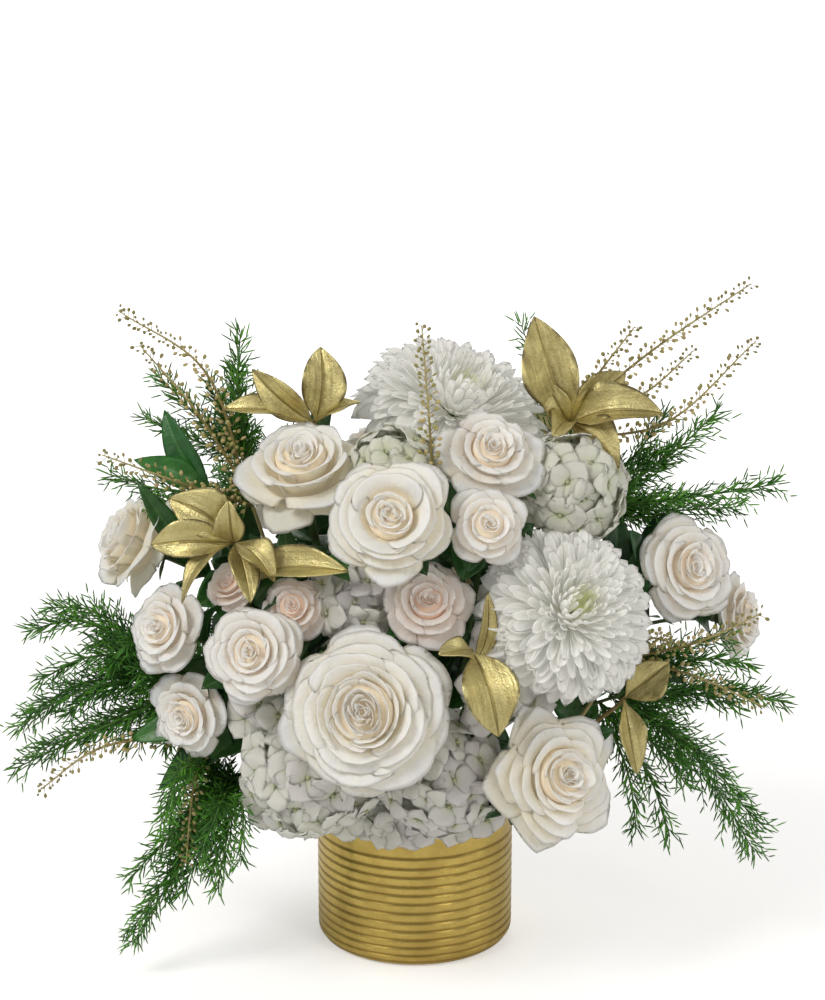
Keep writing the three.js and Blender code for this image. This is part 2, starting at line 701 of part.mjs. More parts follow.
/** A hydrangea head with its stem: a small core, covered by florets on even directions round it. */
function hydrangea(name, { base, radius, foot }, seed) {
  const random = randomStream(seed);
  const centre = vector(base);
  const coreRadius = radius * FLORET.core;
  const size = radius * FLORET.size;
  const core = new THREE.IcosahedronGeometry(coreRadius, 0).translate(...centre.toArray());
  const toFoot = vector(foot).sub(centre).normalize();
  const pieces = [core, bloomStem(name, foot, centre, toFoot.clone().negate(), SPRAY_STEM)];
  claim(name, [centre], coreRadius);
  for (let i = 0; i < FLORET.count; i++) {
    const height = 1 - (2 * (i + 0.5)) / FLORET.count;
    const ring = Math.sqrt(1 - height * height);
    const turn = GOLDEN_ANGLE * i;
    const outward = new THREE.Vector3(ring * Math.cos(turn), ring * Math.sin(turn), height);
    const share = THREE.MathUtils.lerp(...FLORET.rim, random());
    const spot = centre.clone().addScaledVector(outward, radius * share);
    const spin = 90 * random();
    if (outward.dot(toFoot) > STEM_SIDE || !isClear(spot, size * FLORET.room, name)) continue;
    const root = centre.clone().addScaledVector(outward, radius * FLORET.root);
    pieces.push(floret(spot, outward, root, size, spin));
    claim(name, [spot], size * FLORET.room);
  }
  return fuse(pieces);
}

// ---------------------------------------------------------------- leaves, needles and pods

/** An arched leaf: narrow at the base, widest past the middle, with a point and a raised midrib. */
function leaf(name, { from, tip, width, up }) {
  const [end, lift] = [vector(tip), vector(up).normalize()];
  const start = vector(from).addScaledVector(end.clone().sub(vector(from)).normalize(), -LEAF.root);
  const along = end.clone().sub(start);
  const side = new THREE.Vector3().crossVectors(along, lift).normalize();
  const normal = new THREE.Vector3().crossVectors(side, along).normalize();
  const arch = along.length() * LEAF.arch;
  const rings = LEAF_SECTIONS.map(([share, half]) => {
    const centre = start
      .clone()
      .addScaledVector(along, share)
      .addScaledVector(normal, arch * Math.sin(Math.PI * share));
    const edge = width * half;
    const cup = edge * LEAF.cup;
    return [
      centre.clone().addScaledVector(side, edge).addScaledVector(normal, cup),
      centre.clone().addScaledVector(normal, LEAF.thickness / 2),
      centre.clone().addScaledVector(side, -edge).addScaledVector(normal, cup),
      centre.clone().addScaledVector(normal, -LEAF.thickness / 2),
    ];
  });
  claim(name, spread([start, end], width / 2), width * 0.3);
  return skin([[start], ...rings, [end]]);
}

/** Leaves on a twig. Each starts at the twig's last point, or as many points back as it says. */
function sprig(name, twigGeometry, { path, leaves }) {
  const shapes = leaves.map((shape) => ({ ...shape, from: path[path.length - 1 - (shape.back ?? 0)] }));
  return fuse([twigGeometry, ...shapes.map((shape) => leaf(name, shape))]);
}

/** Where side shoots leave a line, and their directions: turned round it by even steps, tilted to its tip. */
function sideShoots(line, spacing, tilt, turn) {
  const count = Math.floor(line.getLength() / spacing);
  return Array.from({ length: count }, (_, i) => {
    const share = (i + 1) / (count + 0.5);
    const tangent = line.getTangentAt(share);
    const outward = new THREE.Vector3().crossVectors(tangent, VIEW_SIDE).normalize();
    outward.applyAxisAngle(tangent, radians(turn * i));
    const direction = tangent.clone().multiplyScalar(Math.cos(radians(tilt)));
    direction.addScaledVector(outward, Math.sin(radians(tilt)));
    return { share, root: line.getPointAt(share), direction };
  });
}

/** A spindle: a point sunk in what it grows from, a three-sided ring, and a point at its end. */
function spindle(root, direction, length, middle, radius) {
  const across = new THREE.Vector3(0.3, 0.5, 0.8).cross(direction).normalize();
  const other = new THREE.Vector3().crossVectors(direction, across);
  const ring = [0, 1, 2].map((k) =>
    root
      .clone()
      .addScaledVector(direction, length * middle)
      .addScaledVector(across, radius * Math.cos(radians(120 * k)))
      .addScaledVector(other, radius * Math.sin(radians(120 * k))),
  );
  const start = root.clone().addScaledVector(direction, -SHOOT_ROOT);
  return skin([[start], ring, [root.clone().addScaledVector(direction, length)]]);
}

/** A fern plume: a slim axis with pointed needles that shorten towards the tip. */
function plume(name, { points, needle }) {
  const spine = points.map(vector);
  const line = straightStretches(spine);
  const pieces = [bar(spine, PLUME_RADII, TWIG.sides)];
  claim(name, spread(spine, 6), PLUME_RADII[0]);
  for (const { share, root, direction } of sideShoots(line, NEEDLE.spacing, NEEDLE.tilt, NEEDLE.turn)) {
    const length = needle * (1 - NEEDLE.shorten * share);
    const tip = root.clone().addScaledVector(direction, length);
    const room = NEEDLE.radius + 2 * GAP;
    if (!spread([root, tip], 5).slice(1).every((point) => isClear(point, room, name))) continue;
    pieces.push(spindle(root, direction, length, NEEDLE.middle, NEEDLE.radius));
    claim(name, spread([root, tip], 8), NEEDLE.radius);
  }
  return pieces;
}

/** A seed spray's branch: a thin axis with round pods, each a spindle that is fattest near its end. */
function podBranch(name, { points }) {
  const spine = points.map(vector);
  const line = straightStretches(spine);
  const pieces = [bar(spine, BRANCH_RADII, TWIG.sides)];
  claim(name, spread(spine, 5), BRANCH_RADII[0]);
  for (const { root, direction } of sideShoots(line, POD.spacing, POD.tilt, POD.turn)) {
    const middle = root.clone().addScaledVector(direction, POD.stalk);
    if (!isClear(middle, POD.radius + 3 * GAP, name)) continue;
    const length = POD.stalk + POD.radius;
    pieces.push(spindle(root, direction, length, POD.stalk / length, POD.radius));
    claim(name, [middle], POD.radius);
  }
  return pieces;
}

// ---------------------------------------------------------------- vase and foam

/** A closed profile turned about the vertical axis. */
function turned(profile, sides) {
  const outline = profile.map(([radius, height]) => new THREE.Vector2(radius, height));
  return new THREE.LatheGeometry(outline, sides).rotateX(Math.PI / 2);
}

function vaseGeometry() {
  const { radius, height, wall, floor, footRadius, footHeight, sides } = VASE;
  const outer = [
    [0, 0],
    [footRadius, 0],
    [radius - VASE_EDGES.footInset, footHeight * VASE_EDGES.footRise],
    [radius, footHeight],
  ];
  GROOVE_HEIGHTS.forEach((z, i) => {
    const next = GROOVE_HEIGHTS[i + 1];
    outer.push([radius - GROOVE_DEPTH, z]);
    outer.push(next ? [radius, (z + next) / 2] : [radius, z + VASE_EDGES.band]);
  });
  const inner = [
    [radius, height - VASE_EDGES.lip],
    [radius - VASE_EDGES.lip, height],
    [radius - wall + VASE_EDGES.lip, height],
    [radius - wall, height - VASE_EDGES.lip],
    [radius - wall, floor],
    [0, floor],
  ];
  return geometryOf(solidOf(turned([...outer, ...inner], sides)));
}

/** The foam block, with a plain hole for every stem. */
function foamGeometry() {
  const { radius, top, chamfer } = FOAM;
  const profile = [
    [0, VASE.floor + GAP],
    [radius, VASE.floor + GAP],
    [radius, top - chamfer],
    [radius - chamfer, top],
    [0, top],
  ];
  const block = solidOf(turned(profile, VASE.sides));
  const cutters = holes.map(({ entry, inner, outward, radius: stem, sides }) => {
    const bore = (stem + HOLE_CLEARANCE) / Math.cos(Math.PI / sides);
    const deep = inner.clone().addScaledVector(outward, -GAP);
    const high = entry.clone().addScaledVector(outward, HOLE_RUNOUT);
    return solidOf(bar([deep, high], [bore, bore], sides));
  });
  return geometryOf(block.subtract(wasm.Manifold.union(cutters)));
}

// ---------------------------------------------------------------- assembly

const centerpiece = new THREE.Group();
const flowers = new THREE.Group();
const foliage = new THREE.Group();
centerpiece.add(flowers, foliage);

function addMesh(group, name, geometry, material) {
  const mesh = new THREE.Mesh(geometry, material);
  mesh.name = name;
  group.add(mesh);
}

for (const [name, rose] of Object.entries(ROSES)) {
  flowers.add(placeBloom(name, ROSE_FORM, FINISHES.rose, rose));
}
for (const { blooms: sprayBlooms } of Object.values(SPRAYS)) {
  for (const [name, bloom] of Object.entries(sprayBlooms)) {
    const material = BLUSH_BLOOMS.includes(name) ? FINISHES.blush : FINISHES.rose;
    flowers.add(placeBloom(name, SPRAY_ROSE_FORM, material, bloom));
  }
}

for (const [name, rose] of Object.entries(ROSES)) {
  const { axis, seat } = seatBehind(rose);
  const stem = bloomStem(name, rose.foot, seat, axis, ROSE_STEM, rose.radius * ROSE_CALYX);
  addMesh(flowers, name + "_stem", stem, FINISHES.stem);
}

for (const [name, spray] of Object.entries(SPRAYS)) {
  addMesh(flowers, name + "_stem", sprayStem(name, spray), FINISHES.stem);
}

for (const [name, mum] of Object.entries(MUMS)) {
  const head = placeBloom(name, MUM_FORM, FINISHES.mum, mum);
  head.updateMatrix();
  const stem = bloomStem(name, mum.foot, vector(mum.base), vector(mum.facing).normalize(), ROSE_STEM);
  addMesh(flowers, name, fuse([head.geometry.applyMatrix4(head.matrix), stem]), FINISHES.mum);
}

const sprigs = { ...GOLD_SPRIGS, ...GREEN_SPRIGS, ...SEED_SPRAYS, ...FERNS };
const twigs = Object.fromEntries(Object.entries(sprigs).map(([name, { path }]) => [name, twig(name, path)]));

Object.entries(HYDRANGEAS).forEach(([name, head], i) => {
  addMesh(flowers, name, hydrangea(name, head, 11 + i), FINISHES.hydrangea);
});
for (const [name, shape] of Object.entries(GOLD_SPRIGS)) {
  addMesh(foliage, name, sprig(name, twigs[name], shape), FINISHES.gold);
}
for (const [name, shape] of Object.entries(GREEN_SPRIGS)) {
  addMesh(foliage, name, sprig(name, twigs[name], shape), FINISHES.leaf);
}
for (const [name, { plumes }] of Object.entries(SEED_SPRAYS)) {
  const branches = plumes.flatMap((shape) => podBranch(name, shape));
  addMesh(foliage, name, fuse([twigs[name], ...branches]), FINISHES.seeds);
}
for (const [name, { plumes }] of Object.entries(FERNS)) {
  const branches = plumes.flatMap((shape) => plume(name, shape));
  addMesh(foliage, name, fuse([twigs[name], ...branches]), FINISHES.fern);
}

addMesh(centerpiece, "vase", vaseGeometry(), FINISHES.vase);
addMesh(centerpiece, "foam_block", foamGeometry(), FINISHES.foam);

export default centerpiece;
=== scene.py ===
"""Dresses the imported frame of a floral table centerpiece.

White roses, spray roses, chrysanthemums, hydrangea, gilded and green leaves, fern and seed sprays stand in a
block of floral foam in a ribbed gold vase. Metres, +Z up. The front faces -Y, and the foot is on the origin.
"""

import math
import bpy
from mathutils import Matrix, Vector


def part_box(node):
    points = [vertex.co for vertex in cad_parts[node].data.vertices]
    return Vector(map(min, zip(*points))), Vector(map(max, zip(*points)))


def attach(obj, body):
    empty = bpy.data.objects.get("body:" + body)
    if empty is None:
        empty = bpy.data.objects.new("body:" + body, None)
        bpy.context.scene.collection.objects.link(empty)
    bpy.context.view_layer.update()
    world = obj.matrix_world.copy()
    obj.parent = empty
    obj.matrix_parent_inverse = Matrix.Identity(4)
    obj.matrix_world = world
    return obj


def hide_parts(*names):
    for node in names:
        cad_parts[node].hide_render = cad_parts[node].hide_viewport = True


bl_info = {
    "name": "Floral Table Centerpiece",
    "version": (1, 0, 0),
    "blender": (4, 5, 0),
    "location": "View3D > Sidebar > Centerpiece",
    "description": "Builds the blooms, foliage, vase and stage of a floral table centerpiece round its frame",
    "category": "Add Mesh",
}

import bpy
import numpy as np
from mathutils import Vector

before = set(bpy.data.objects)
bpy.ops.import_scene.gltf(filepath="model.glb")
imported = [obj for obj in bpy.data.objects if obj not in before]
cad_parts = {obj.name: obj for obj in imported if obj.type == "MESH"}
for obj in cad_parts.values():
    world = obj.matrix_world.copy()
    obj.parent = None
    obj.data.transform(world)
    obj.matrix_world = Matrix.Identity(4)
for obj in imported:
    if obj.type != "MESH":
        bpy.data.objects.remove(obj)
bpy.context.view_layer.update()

# ------------------------------------------------------------------ sizes and places, in metres

vase_low, vase_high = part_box("vase")
VASE_RADIUS = round((vase_high.x - vase_low.x) / 2, 4)
VASE_HEIGHT = round(vase_high.z, 4)
FOAM_TOP = round(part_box("foam_block")[1].z, 4)

# The heights of the rings in the vase's wall.
RING_HEIGHTS = (
    0.004, 0.009, 0.0145, 0.020, 0.026, 0.032, 0.0385, 0.045, 0.051, 0.057, 0.0635, 0.0695, 0.0765,
)
RING_WIDTH = 0.0009  # the half width of a ring's groove
RIM_BAND = (0.078, 0.034)  # where the smooth band under the rim begins, and its height
FOOT_CORNER = 0.009  # the round corner of the vase's foot
VASE_FLOOR = 0.006  # the height of the floor inside the vase
VASE_TURNS = 160  # the faces round the vase
STEM_FOCUS = np.array([0.0, 0.0, 0.060])  # the point in the foam that every stem aims at
STEM_PLUNGE = 0.028  # how far a stem runs inside the foam
STEM_LEAD = 0.003  # the straight stretch above the foam
SIDE_FOOT = (0.0591, 0.127)  # radius and height of the feet in the foam's side
BACK_REACH = 0.16  # from a rose's base to the point of its back, as a share of its radius
CALYX = 0.005  # the straight stretch of stem under a bloom
GOLDEN_ANGLE = math.pi * (3 - math.sqrt(5))
NEEDLE_RADIUS = 0.0006
TWIN_PLUMES = (0.84, 0.70, 0.56, 0.44, 0.36, 0.28)  # the lengths of the plumes beside one, as shares of it

# The rows and columns of the grid that a petal is worked out on.
ROSE_GRID, SPRAY_ROSE_GRID, MUM_GRID, FLORET_GRID = (15, 19), (13, 15), (11, 7), (8, 7)

# Radii along stems, evenly spaced from foot to head.
ROSE_STEM = (0.0026, 0.0026, 0.0024, 0.0022, 0.0034)
MUM_STEM = (0.0026, 0.0026, 0.0024, 0.0022, 0.0022)
HYDRANGEA_STEM = (0.0022, 0.0022, 0.0020, 0.0018)
SPRAY_STEM = (0.0022, 0.0021, 0.0018)
SIDE_STEM = (0.0016, 0.0014, 0.0013, 0.0022)
LEAFY_TWIG = (0.0016, 0.0015, 0.0012)
FINE_TWIG = (0.0016, 0.0014, 0.0011)
PLUME_STEM = (0.0010, 0.0008, 0.0004)

# Outlines of small turned shapes: shares of the length and of the radius.
HIP = ((0, 0), (0.1, 0.55), (0.5, 1), (0.9, 0.95), (1, 0))
FLOWER_CUP = ((0, 0), (0.1, 0.35), (0.5, 0.8), (0.85, 1), (1, 0))
FLORET_BEAD = ((0, 0), (0.25, 0.8), (0.6, 1), (0.9, 0.6), (1, 0))
FLORET_STALK = ((0, 0), (0.02, 1), (0.98, 0.7), (1, 0))
SHOOT = ((0, 0), (0.25, 1), (0.5, 0.8), (0.75, 0.6), (1, 0))
NEEDLE = ((0, 0), (0.25, 1), (0.75, 0.8), (1, 0))
STALKED_POD = ((0, 0), (0.02, 0.16), (0.58, 0.14), (0.64, 0.62), (0.80, 1), (0.95, 0.62), (1, 0))

HEAD_LAYERS = (0.96, 0.76)  # how far out a hydrangea's two layers of florets lie, as shares of its radius
FLORET_THICKNESS = 0.0005
STRAY_WAY = (0.1, -0.9, 0.35)  # the way that single florets face
FLORET_GAP = 0.004  # how far florets keep from the vase and the foam
STEM_PULL, SIDE_PULL = 0.38, 0.35  # how strongly a stem's curve keeps to its end directions
VIEW_PLANE = np.array([0.0, -0.85, 0.5])  # fern shoots spread flat to this way

# Seeds of the random draws: each piece adds its number to its kind's seed.
SEEDS = {
    "roses": 100, "spray_roses": 200, "rose_stems": 300, "spray_stems": 320, "mums": 400, "hydrangeas": 500,
    "gold": 600, "green": 620, "ferns": 700, "seeds": 800,
}

# The studio: name, place, size and power of each light, their colour, and the point that they look at.
LIGHTS = (
    ("key", (-1.4, -1.2, 1.9), 1.1, 32),
    ("window", (0.95, -1.3, 0.9), 0.4, 4),
    ("fill", (1.9, -0.3, 1.0), 1.0, 7),
    ("back", (0.3, 1.6, 1.7), 1.2, 12),
)
LIGHT_COLOUR = (1, 0.975, 0.94)
LIGHT_AIM = (0, 0, 0.2)
SKY_COLOUR = (1, 0.99, 0.97)
SKY_LIGHT, SKY_SEEN = 0.28, 0.8  # how strongly the sky lights the scene, and what the camera sees on top
FLOOR_REACH = 80.0
# The photograph's focal length and long side in pixels, and the width of the sensor in millimetres.
FOCAL_PIXELS, PHOTO_SIDE, SENSOR = 2444, 1000, 36
CAMERA_PLACE, CAMERA_TILT = (-0.0016, -1.5352, 0.6815), 76


def top_foot(azimuth, radius):
    """A stem's foot on the foam's top."""
    angle = math.radians(azimuth)
    return (radius * math.cos(angle), radius * math.sin(angle), FOAM_TOP)


def side_foot(azimuth):
    """A stem's foot in the foam's side, above the vase's rim."""
    angle = math.radians(azimuth)
    return (SIDE_FOOT[0] * math.cos(angle), SIDE_FOOT[0] * math.sin(angle), SIDE_FOOT[1])


# A bloom: where stem and bloom meet, the way the open face looks, its radius, its turn in degrees and the
# form of its petals. A rose also has its foot in the foam.
ROSES = {
    "rose_front": ((-0.028, -0.133, 0.199), (-0.12, -0.93, 0.35), 0.050, 10, "garden", side_foot(-102)),
    "rose_right_low": ((0.079, -0.111, 0.151), (0.45, -0.85, 0.3), 0.046, 40, "spiral", side_foot(-52)),
    "rose_upper_left": (
        (-0.068, -0.042, 0.313), (-0.1, -0.45, 0.88), 0.044, 0, "flared", top_foot(-150, 0.028),
    ),
    "rose_centre": ((-0.014, -0.104, 0.310), (-0.05, -0.85, 0.5), 0.038, 25, "cup", top_foot(-85, 0.032)),
    "rose_far_left": ((-0.168, -0.004, 0.266), (-0.8, -0.3, 0.45), 0.038, 60, "flared", top_foot(178, 0.046)),
    "rose_back": ((0.010, 0.098, 0.232), (0.1, 0.9, 0.4), 0.047, 15, "garden", top_foot(88, 0.046)),
}

# A spray: the stem's foot, the fork where its side stems part, and its blooms.
SPRAYS = {
    "spray_top": (top_foot(-52, 0.030), (0.040, -0.050, 0.262), {
        "spray_rose_top": ((0.045, -0.054, 0.335), (0.15, -0.7, 0.7), 0.034, 0, "ruffled"),
        "spray_rose_cup": ((0.043, -0.097, 0.305), (0.1, -0.9, 0.4), 0.025, 30, "goblet"),
    }),
    "spray_blush_centre": (top_foot(-76, 0.048), (0.006, -0.072, 0.212), {
        "spray_rose_blush": ((0.008, -0.097, 0.253), (0, -0.8, 0.6), 0.029, 50, "ruffled"),
    }),
    "spray_blush_left": (top_foot(-124, 0.046), (-0.066, -0.062, 0.212), {
        "spray_rose_pink": ((-0.074, -0.086, 0.249), (-0.1, -0.85, 0.5), 0.022, 20, "goblet"),
        "spray_rose_bud": ((-0.110, -0.080, 0.260), (-0.4, -0.6, 0.7), 0.019, 70, "goblet"),
    }),
    "spray_left": (top_foot(-152, 0.050), (-0.100, -0.062, 0.188), {
        "spray_rose_left_inner": ((-0.096, -0.114, 0.231), (-0.25, -0.9, 0.35), 0.031, 0, "swirl"),
        "spray_rose_left_outer": ((-0.150, -0.070, 0.232), (-0.55, -0.75, 0.35), 0.029, 35, "ruffled"),
        "spray_rose_left_low": ((-0.136, -0.077, 0.181), (-0.5, -0.85, 0.05), 0.029, 10, "ruffled"),
    }),
    "spray_right": (top_foot(-10, 0.050), (0.128, -0.014, 0.208), {
        "spray_rose_right": ((0.169, -0.028, 0.259), (0.45, -0.8, 0.35), 0.035, 15, "swirl"),
        "spray_rose_right_outer": ((0.202, 0.002, 0.219), (0.85, -0.4, 0.15), 0.029, 45, "ruffled"),
    }),
    "spray_back": (top_foot(118, 0.032), (-0.038, 0.062, 0.230), {
        "spray_rose_back_left": ((-0.078, 0.086, 0.272), (-0.5, 0.75, 0.5), 0.032, 0, "ruffled"),
        "spray_rose_back_top": ((-0.014, 0.070, 0.312), (-0.05, 0.6, 0.8), 0.030, 30, "swirl"),
    }),
}
BLUSH_BLOOMS = ("spray_rose_blush", "spray_rose_pink", "spray_rose_bud")

MUMS = {
    "chrysanthemum_top": ((0.024, 0.022, 0.349), (0.35, -0.35, 0.87), 0.058, top_foot(-40, 0.004)),
    "chrysanthemum_right": ((0.093, -0.094, 0.250), (0.35, -0.75, 0.55), 0.050, top_foot(-46, 0.049)),
}

# A hydrangea head: centre, radius, foot, number of florets, how green its white is, and the florets of it
# that hang over the vase's rim: azimuths of the first and the last, and their number. Last, single florets
# beside it.
HYDRANGEAS = {
    "hydrangea_front_left": (
        (-0.064, -0.094, 0.151), 0.043, side_foot(-133), 72, 0.25, (-134, -100, 12),
        ((-0.096, -0.104, 0.196), (-0.084, -0.112, 0.190), (-0.104, -0.096, 0.184)),
    ),
    "hydrangea_front_right": (
        (0.015, -0.098, 0.148), 0.038, side_foot(-79), 50, 0.15, (-104, -60, 14),
        ((0.052, -0.108, 0.220), (0.044, -0.100, 0.234), (0.062, -0.112, 0.204), (0.036, -0.106, 0.208),
         (0.072, -0.108, 0.196), (0.054, -0.100, 0.194), (0.040, -0.112, 0.190), (0.066, -0.098, 0.212)),
    ),
    "hydrangea_centre": ((-0.037, -0.074, 0.255), 0.028, top_foot(-108, 0.030), 34, 0.1, None, ()),
    "hydrangea_top_left": ((-0.013, -0.052, 0.331), 0.025, top_foot(-110, 0.014), 28, 0.6, None, ()),
    "hydrangea_top_right": ((0.098, -0.038, 0.314), 0.034, top_foot(-20, 0.032), 44, 0.45, None, ()),
    "hydrangea_back_left": ((-0.084, 0.074, 0.184), 0.046, top_foot(140, 0.048), 64, 0.3, None, ()),
    "hydrangea_back_right": ((0.078, 0.082, 0.196), 0.046, top_foot(48, 0.048), 64, 0.2, None, ()),
}

# A sprig: the twig's points, then each leaf's tip, width, way up and points back from the twig's end.
GOLD_SPRIGS = {
    "gold_leaves_top_left": (
        [top_foot(170, 0.026), (-0.040, 0.006, 0.220), (-0.056, 0.002, 0.300), (-0.064, -0.010, 0.352)],
        [((-0.060, -0.004, 0.400), 0.030, (0.2, -0.9, 0.2), 0),
         ((-0.103, -0.016, 0.388), 0.022, (-0.4, -0.7, 0.5), 0),
         ((-0.122, -0.020, 0.363), 0.022, (0, -0.6, 0.8), 0),
         ((-0.034, -0.012, 0.366), 0.017, (0.1, -0.5, 0.8), 0)],
    ),
    "gold_leaves_left": (
        [top_foot(-166, 0.046), (-0.078, -0.038, 0.205), (-0.104, -0.060, 0.262), (-0.112, -0.074, 0.290)],
        [((-0.152, -0.072, 0.318), 0.030, (0, -0.8, 0.6), 0),
         ((-0.163, -0.082, 0.291), 0.024, (0, -0.8, 0.5), 0),
         ((-0.114, -0.086, 0.320), 0.020, (-0.2, -0.9, 0.2), 0),
         ((-0.086, -0.100, 0.272), 0.024, (0.3, -0.7, 0.6), 0),
         ((-0.142, -0.106, 0.260), 0.016, (-0.3, -0.6, 0.7), 0),
         ((-0.100, -0.112, 0.262), 0.020, (0.2, -0.9, 0.4), 0),
         ((-0.040, -0.112, 0.282), 0.028, (0.1, -0.8, 0.6), 1)],
    ),
    "gold_leaves_right": (
        [top_foot(-2, 0.018), (0.064, -0.002, 0.230), (0.088, -0.002, 0.310), (0.098, -0.012, 0.352)],
        [((0.075, -0.012, 0.421), 0.036, (-0.1, -0.95, 0.1), 0),
         ((0.156, -0.028, 0.362), 0.032, (0.1, -0.7, 0.7), 0),
         ((0.134, -0.006, 0.384), 0.024, (0, -0.9, 0.4), 0),
         ((0.086, -0.040, 0.350), 0.018, (0, -0.5, 0.85), 0),
         ((0.082, -0.020, 0.382), 0.018, (-0.3, -0.9, 0.3), 0),
         ((0.128, -0.044, 0.330), 0.024, (0.3, -0.8, 0.5), 0)],
    ),
    "gold_leaves_front": (
        [top_foot(-64, 0.047), (0.034, -0.084, 0.190), (0.036, -0.108, 0.222), (0.034, -0.124, 0.236)],
        [((0.014, -0.146, 0.240), 0.018, (0.3, -0.7, 0.6), 0),
         ((0.050, -0.150, 0.190), 0.036, (0.1, -0.95, 0.3), 0),
         ((0.044, -0.116, 0.270), 0.013, (0.3, -0.9, 0.1), 1)],
    ),
    "gold_leaves_low_right": (
        [side_foot(-36), (0.092, -0.056, 0.152), (0.124, -0.062, 0.176), (0.132, -0.066, 0.186)],
        [((0.160, -0.068, 0.210), 0.026, (0.2, -0.9, 0.3), 0),
         ((0.140, -0.080, 0.140), 0.022, (0.3, -0.9, 0.1), 0)],
    ),
    "gold_leaves_back": (
        [top_foot(72, 0.030), (0.034, 0.056, 0.220), (0.054, 0.072, 0.285), (0.058, 0.076, 0.322)],
        [((0.096, 0.086, 0.356), 0.028, (0, 0.8, 0.6), 0),
         ((0.036, 0.084, 0.374), 0.030, (0, 0.9, 0.3), 0),
         ((0.102, 0.104, 0.314), 0.026, (0.2, 0.6, 0.8), 0),
         ((0.020, 0.104, 0.336), 0.024, (-0.2, 0.8, 0.5), 0),
         ((0.070, 0.118, 0.296), 0.024, (0.1, 0.8, 0.4), 0)],
    ),
}
GREEN_SPRIGS = {
    "green_leaves_left": (
        [top_foot(-177, 0.034), (-0.086, -0.008, 0.215), (-0.120, -0.014, 0.272), (-0.130, -0.014, 0.308)],
        [((-0.160, -0.008, 0.360), 0.020, (-0.2, -0.9, 0.3), 0),
         ((-0.178, -0.028, 0.332), 0.018, (-0.2, -0.8, 0.6), 0),
         ((-0.128, -0.002, 0.196), 0.024, (-0.2, -0.5, 0.8), 2)],
    ),
    "green_leaves_right": (
        [top_foot(6, 0.050), (0.096, 0.002, 0.210), (0.130, -0.010, 0.246), (0.140, -0.020, 0.262)],
        [((0.134, -0.052, 0.292), 0.018, (0.2, -0.8, 0.5), 0),
         ((0.132, 0.030, 0.232), 0.026, (0.3, 0.2, 0.9), 2),
         ((0.170, 0.008, 0.290), 0.022, (0.2, 0.4, 0.9), 0)],
    ),
}

# Leaves of the stems that show between the blooms: tip, width and the share of the stem where they start.
OPEN_LEAVES = {
    "spray_left": (((-0.180, -0.072, 0.160), 0.026, 0.95), ((-0.164, -0.066, 0.124), 0.024, 0.8),
                   ((-0.130, -0.080, 0.150), 0.026, 0.85), ((-0.150, -0.060, 0.206), 0.030, 0.9),
                   ((-0.122, -0.074, 0.222), 0.030, 0.95), ((-0.130, -0.030, 0.150), 0.028, 0.7)),
    "spray_blush_left": (((-0.128, -0.062, 0.246), 0.030, 0.9), ((-0.104, -0.052, 0.290), 0.030, 1.0),
                         ((-0.082, -0.058, 0.298), 0.028, 1.0), ((-0.058, -0.068, 0.280), 0.028, 1.0)),
    "spray_top": (((0.014, -0.052, 0.330), 0.026, 1.0), ((0.074, -0.066, 0.300), 0.028, 1.0)),
    "spray_right": (((0.172, -0.062, 0.194), 0.024, 0.9), ((0.146, -0.030, 0.282), 0.022, 1.0),
                    ((0.150, -0.046, 0.214), 0.026, 0.9), ((0.124, 0.034, 0.164), 0.030, 0.6),
                    ((0.120, -0.022, 0.158), 0.030, 0.6), ((0.140, 0.050, 0.226), 0.030, 0.9),
                    ((0.130, -0.010, 0.296), 0.028, 1.0)),
    "rose_far_left": (((-0.176, -0.034, 0.320), 0.018, 0.8), ((-0.112, 0.040, 0.168), 0.030, 0.4),
                      ((-0.136, 0.050, 0.226), 0.030, 0.6), ((-0.110, 0.040, 0.290), 0.030, 0.7),
                      ((-0.130, -0.036, 0.268), 0.036, 0.7), ((-0.112, -0.040, 0.240), 0.036, 0.6),
                      ((-0.140, -0.036, 0.238), 0.032, 0.7)),
    "rose_upper_left": (((-0.050, 0.004, 0.388), 0.015, 0.9), ((-0.076, -0.078, 0.286), 0.026, 0.7)),
    "rose_centre": (((-0.062, -0.100, 0.282), 0.024, 0.75), ((0.018, -0.104, 0.270), 0.024, 0.75)),
    "rose_front": (((0.010, -0.120, 0.232), 0.024, 0.7), ((-0.058, -0.112, 0.232), 0.024, 0.7)),
    "rose_right_low": (((0.124, -0.098, 0.176), 0.026, 0.8),),
    "rose_back": (((0.052, 0.116, 0.166), 0.030, 0.6), ((-0.030, 0.122, 0.186), 0.030, 0.6),
                  ((0.060, 0.110, 0.256), 0.028, 0.8), ((0.012, 0.100, 0.290), 0.028, 0.9)),
    "spray_back": (((-0.120, 0.092, 0.236), 0.030, 0.9), ((-0.052, 0.110, 0.300), 0.028, 1.0),
                   ((0.020, 0.096, 0.326), 0.028, 1.0), ((-0.104, 0.052, 0.306), 0.030, 1.0),
                   ((-0.040, 0.100, 0.216), 0.030, 0.7)),
}

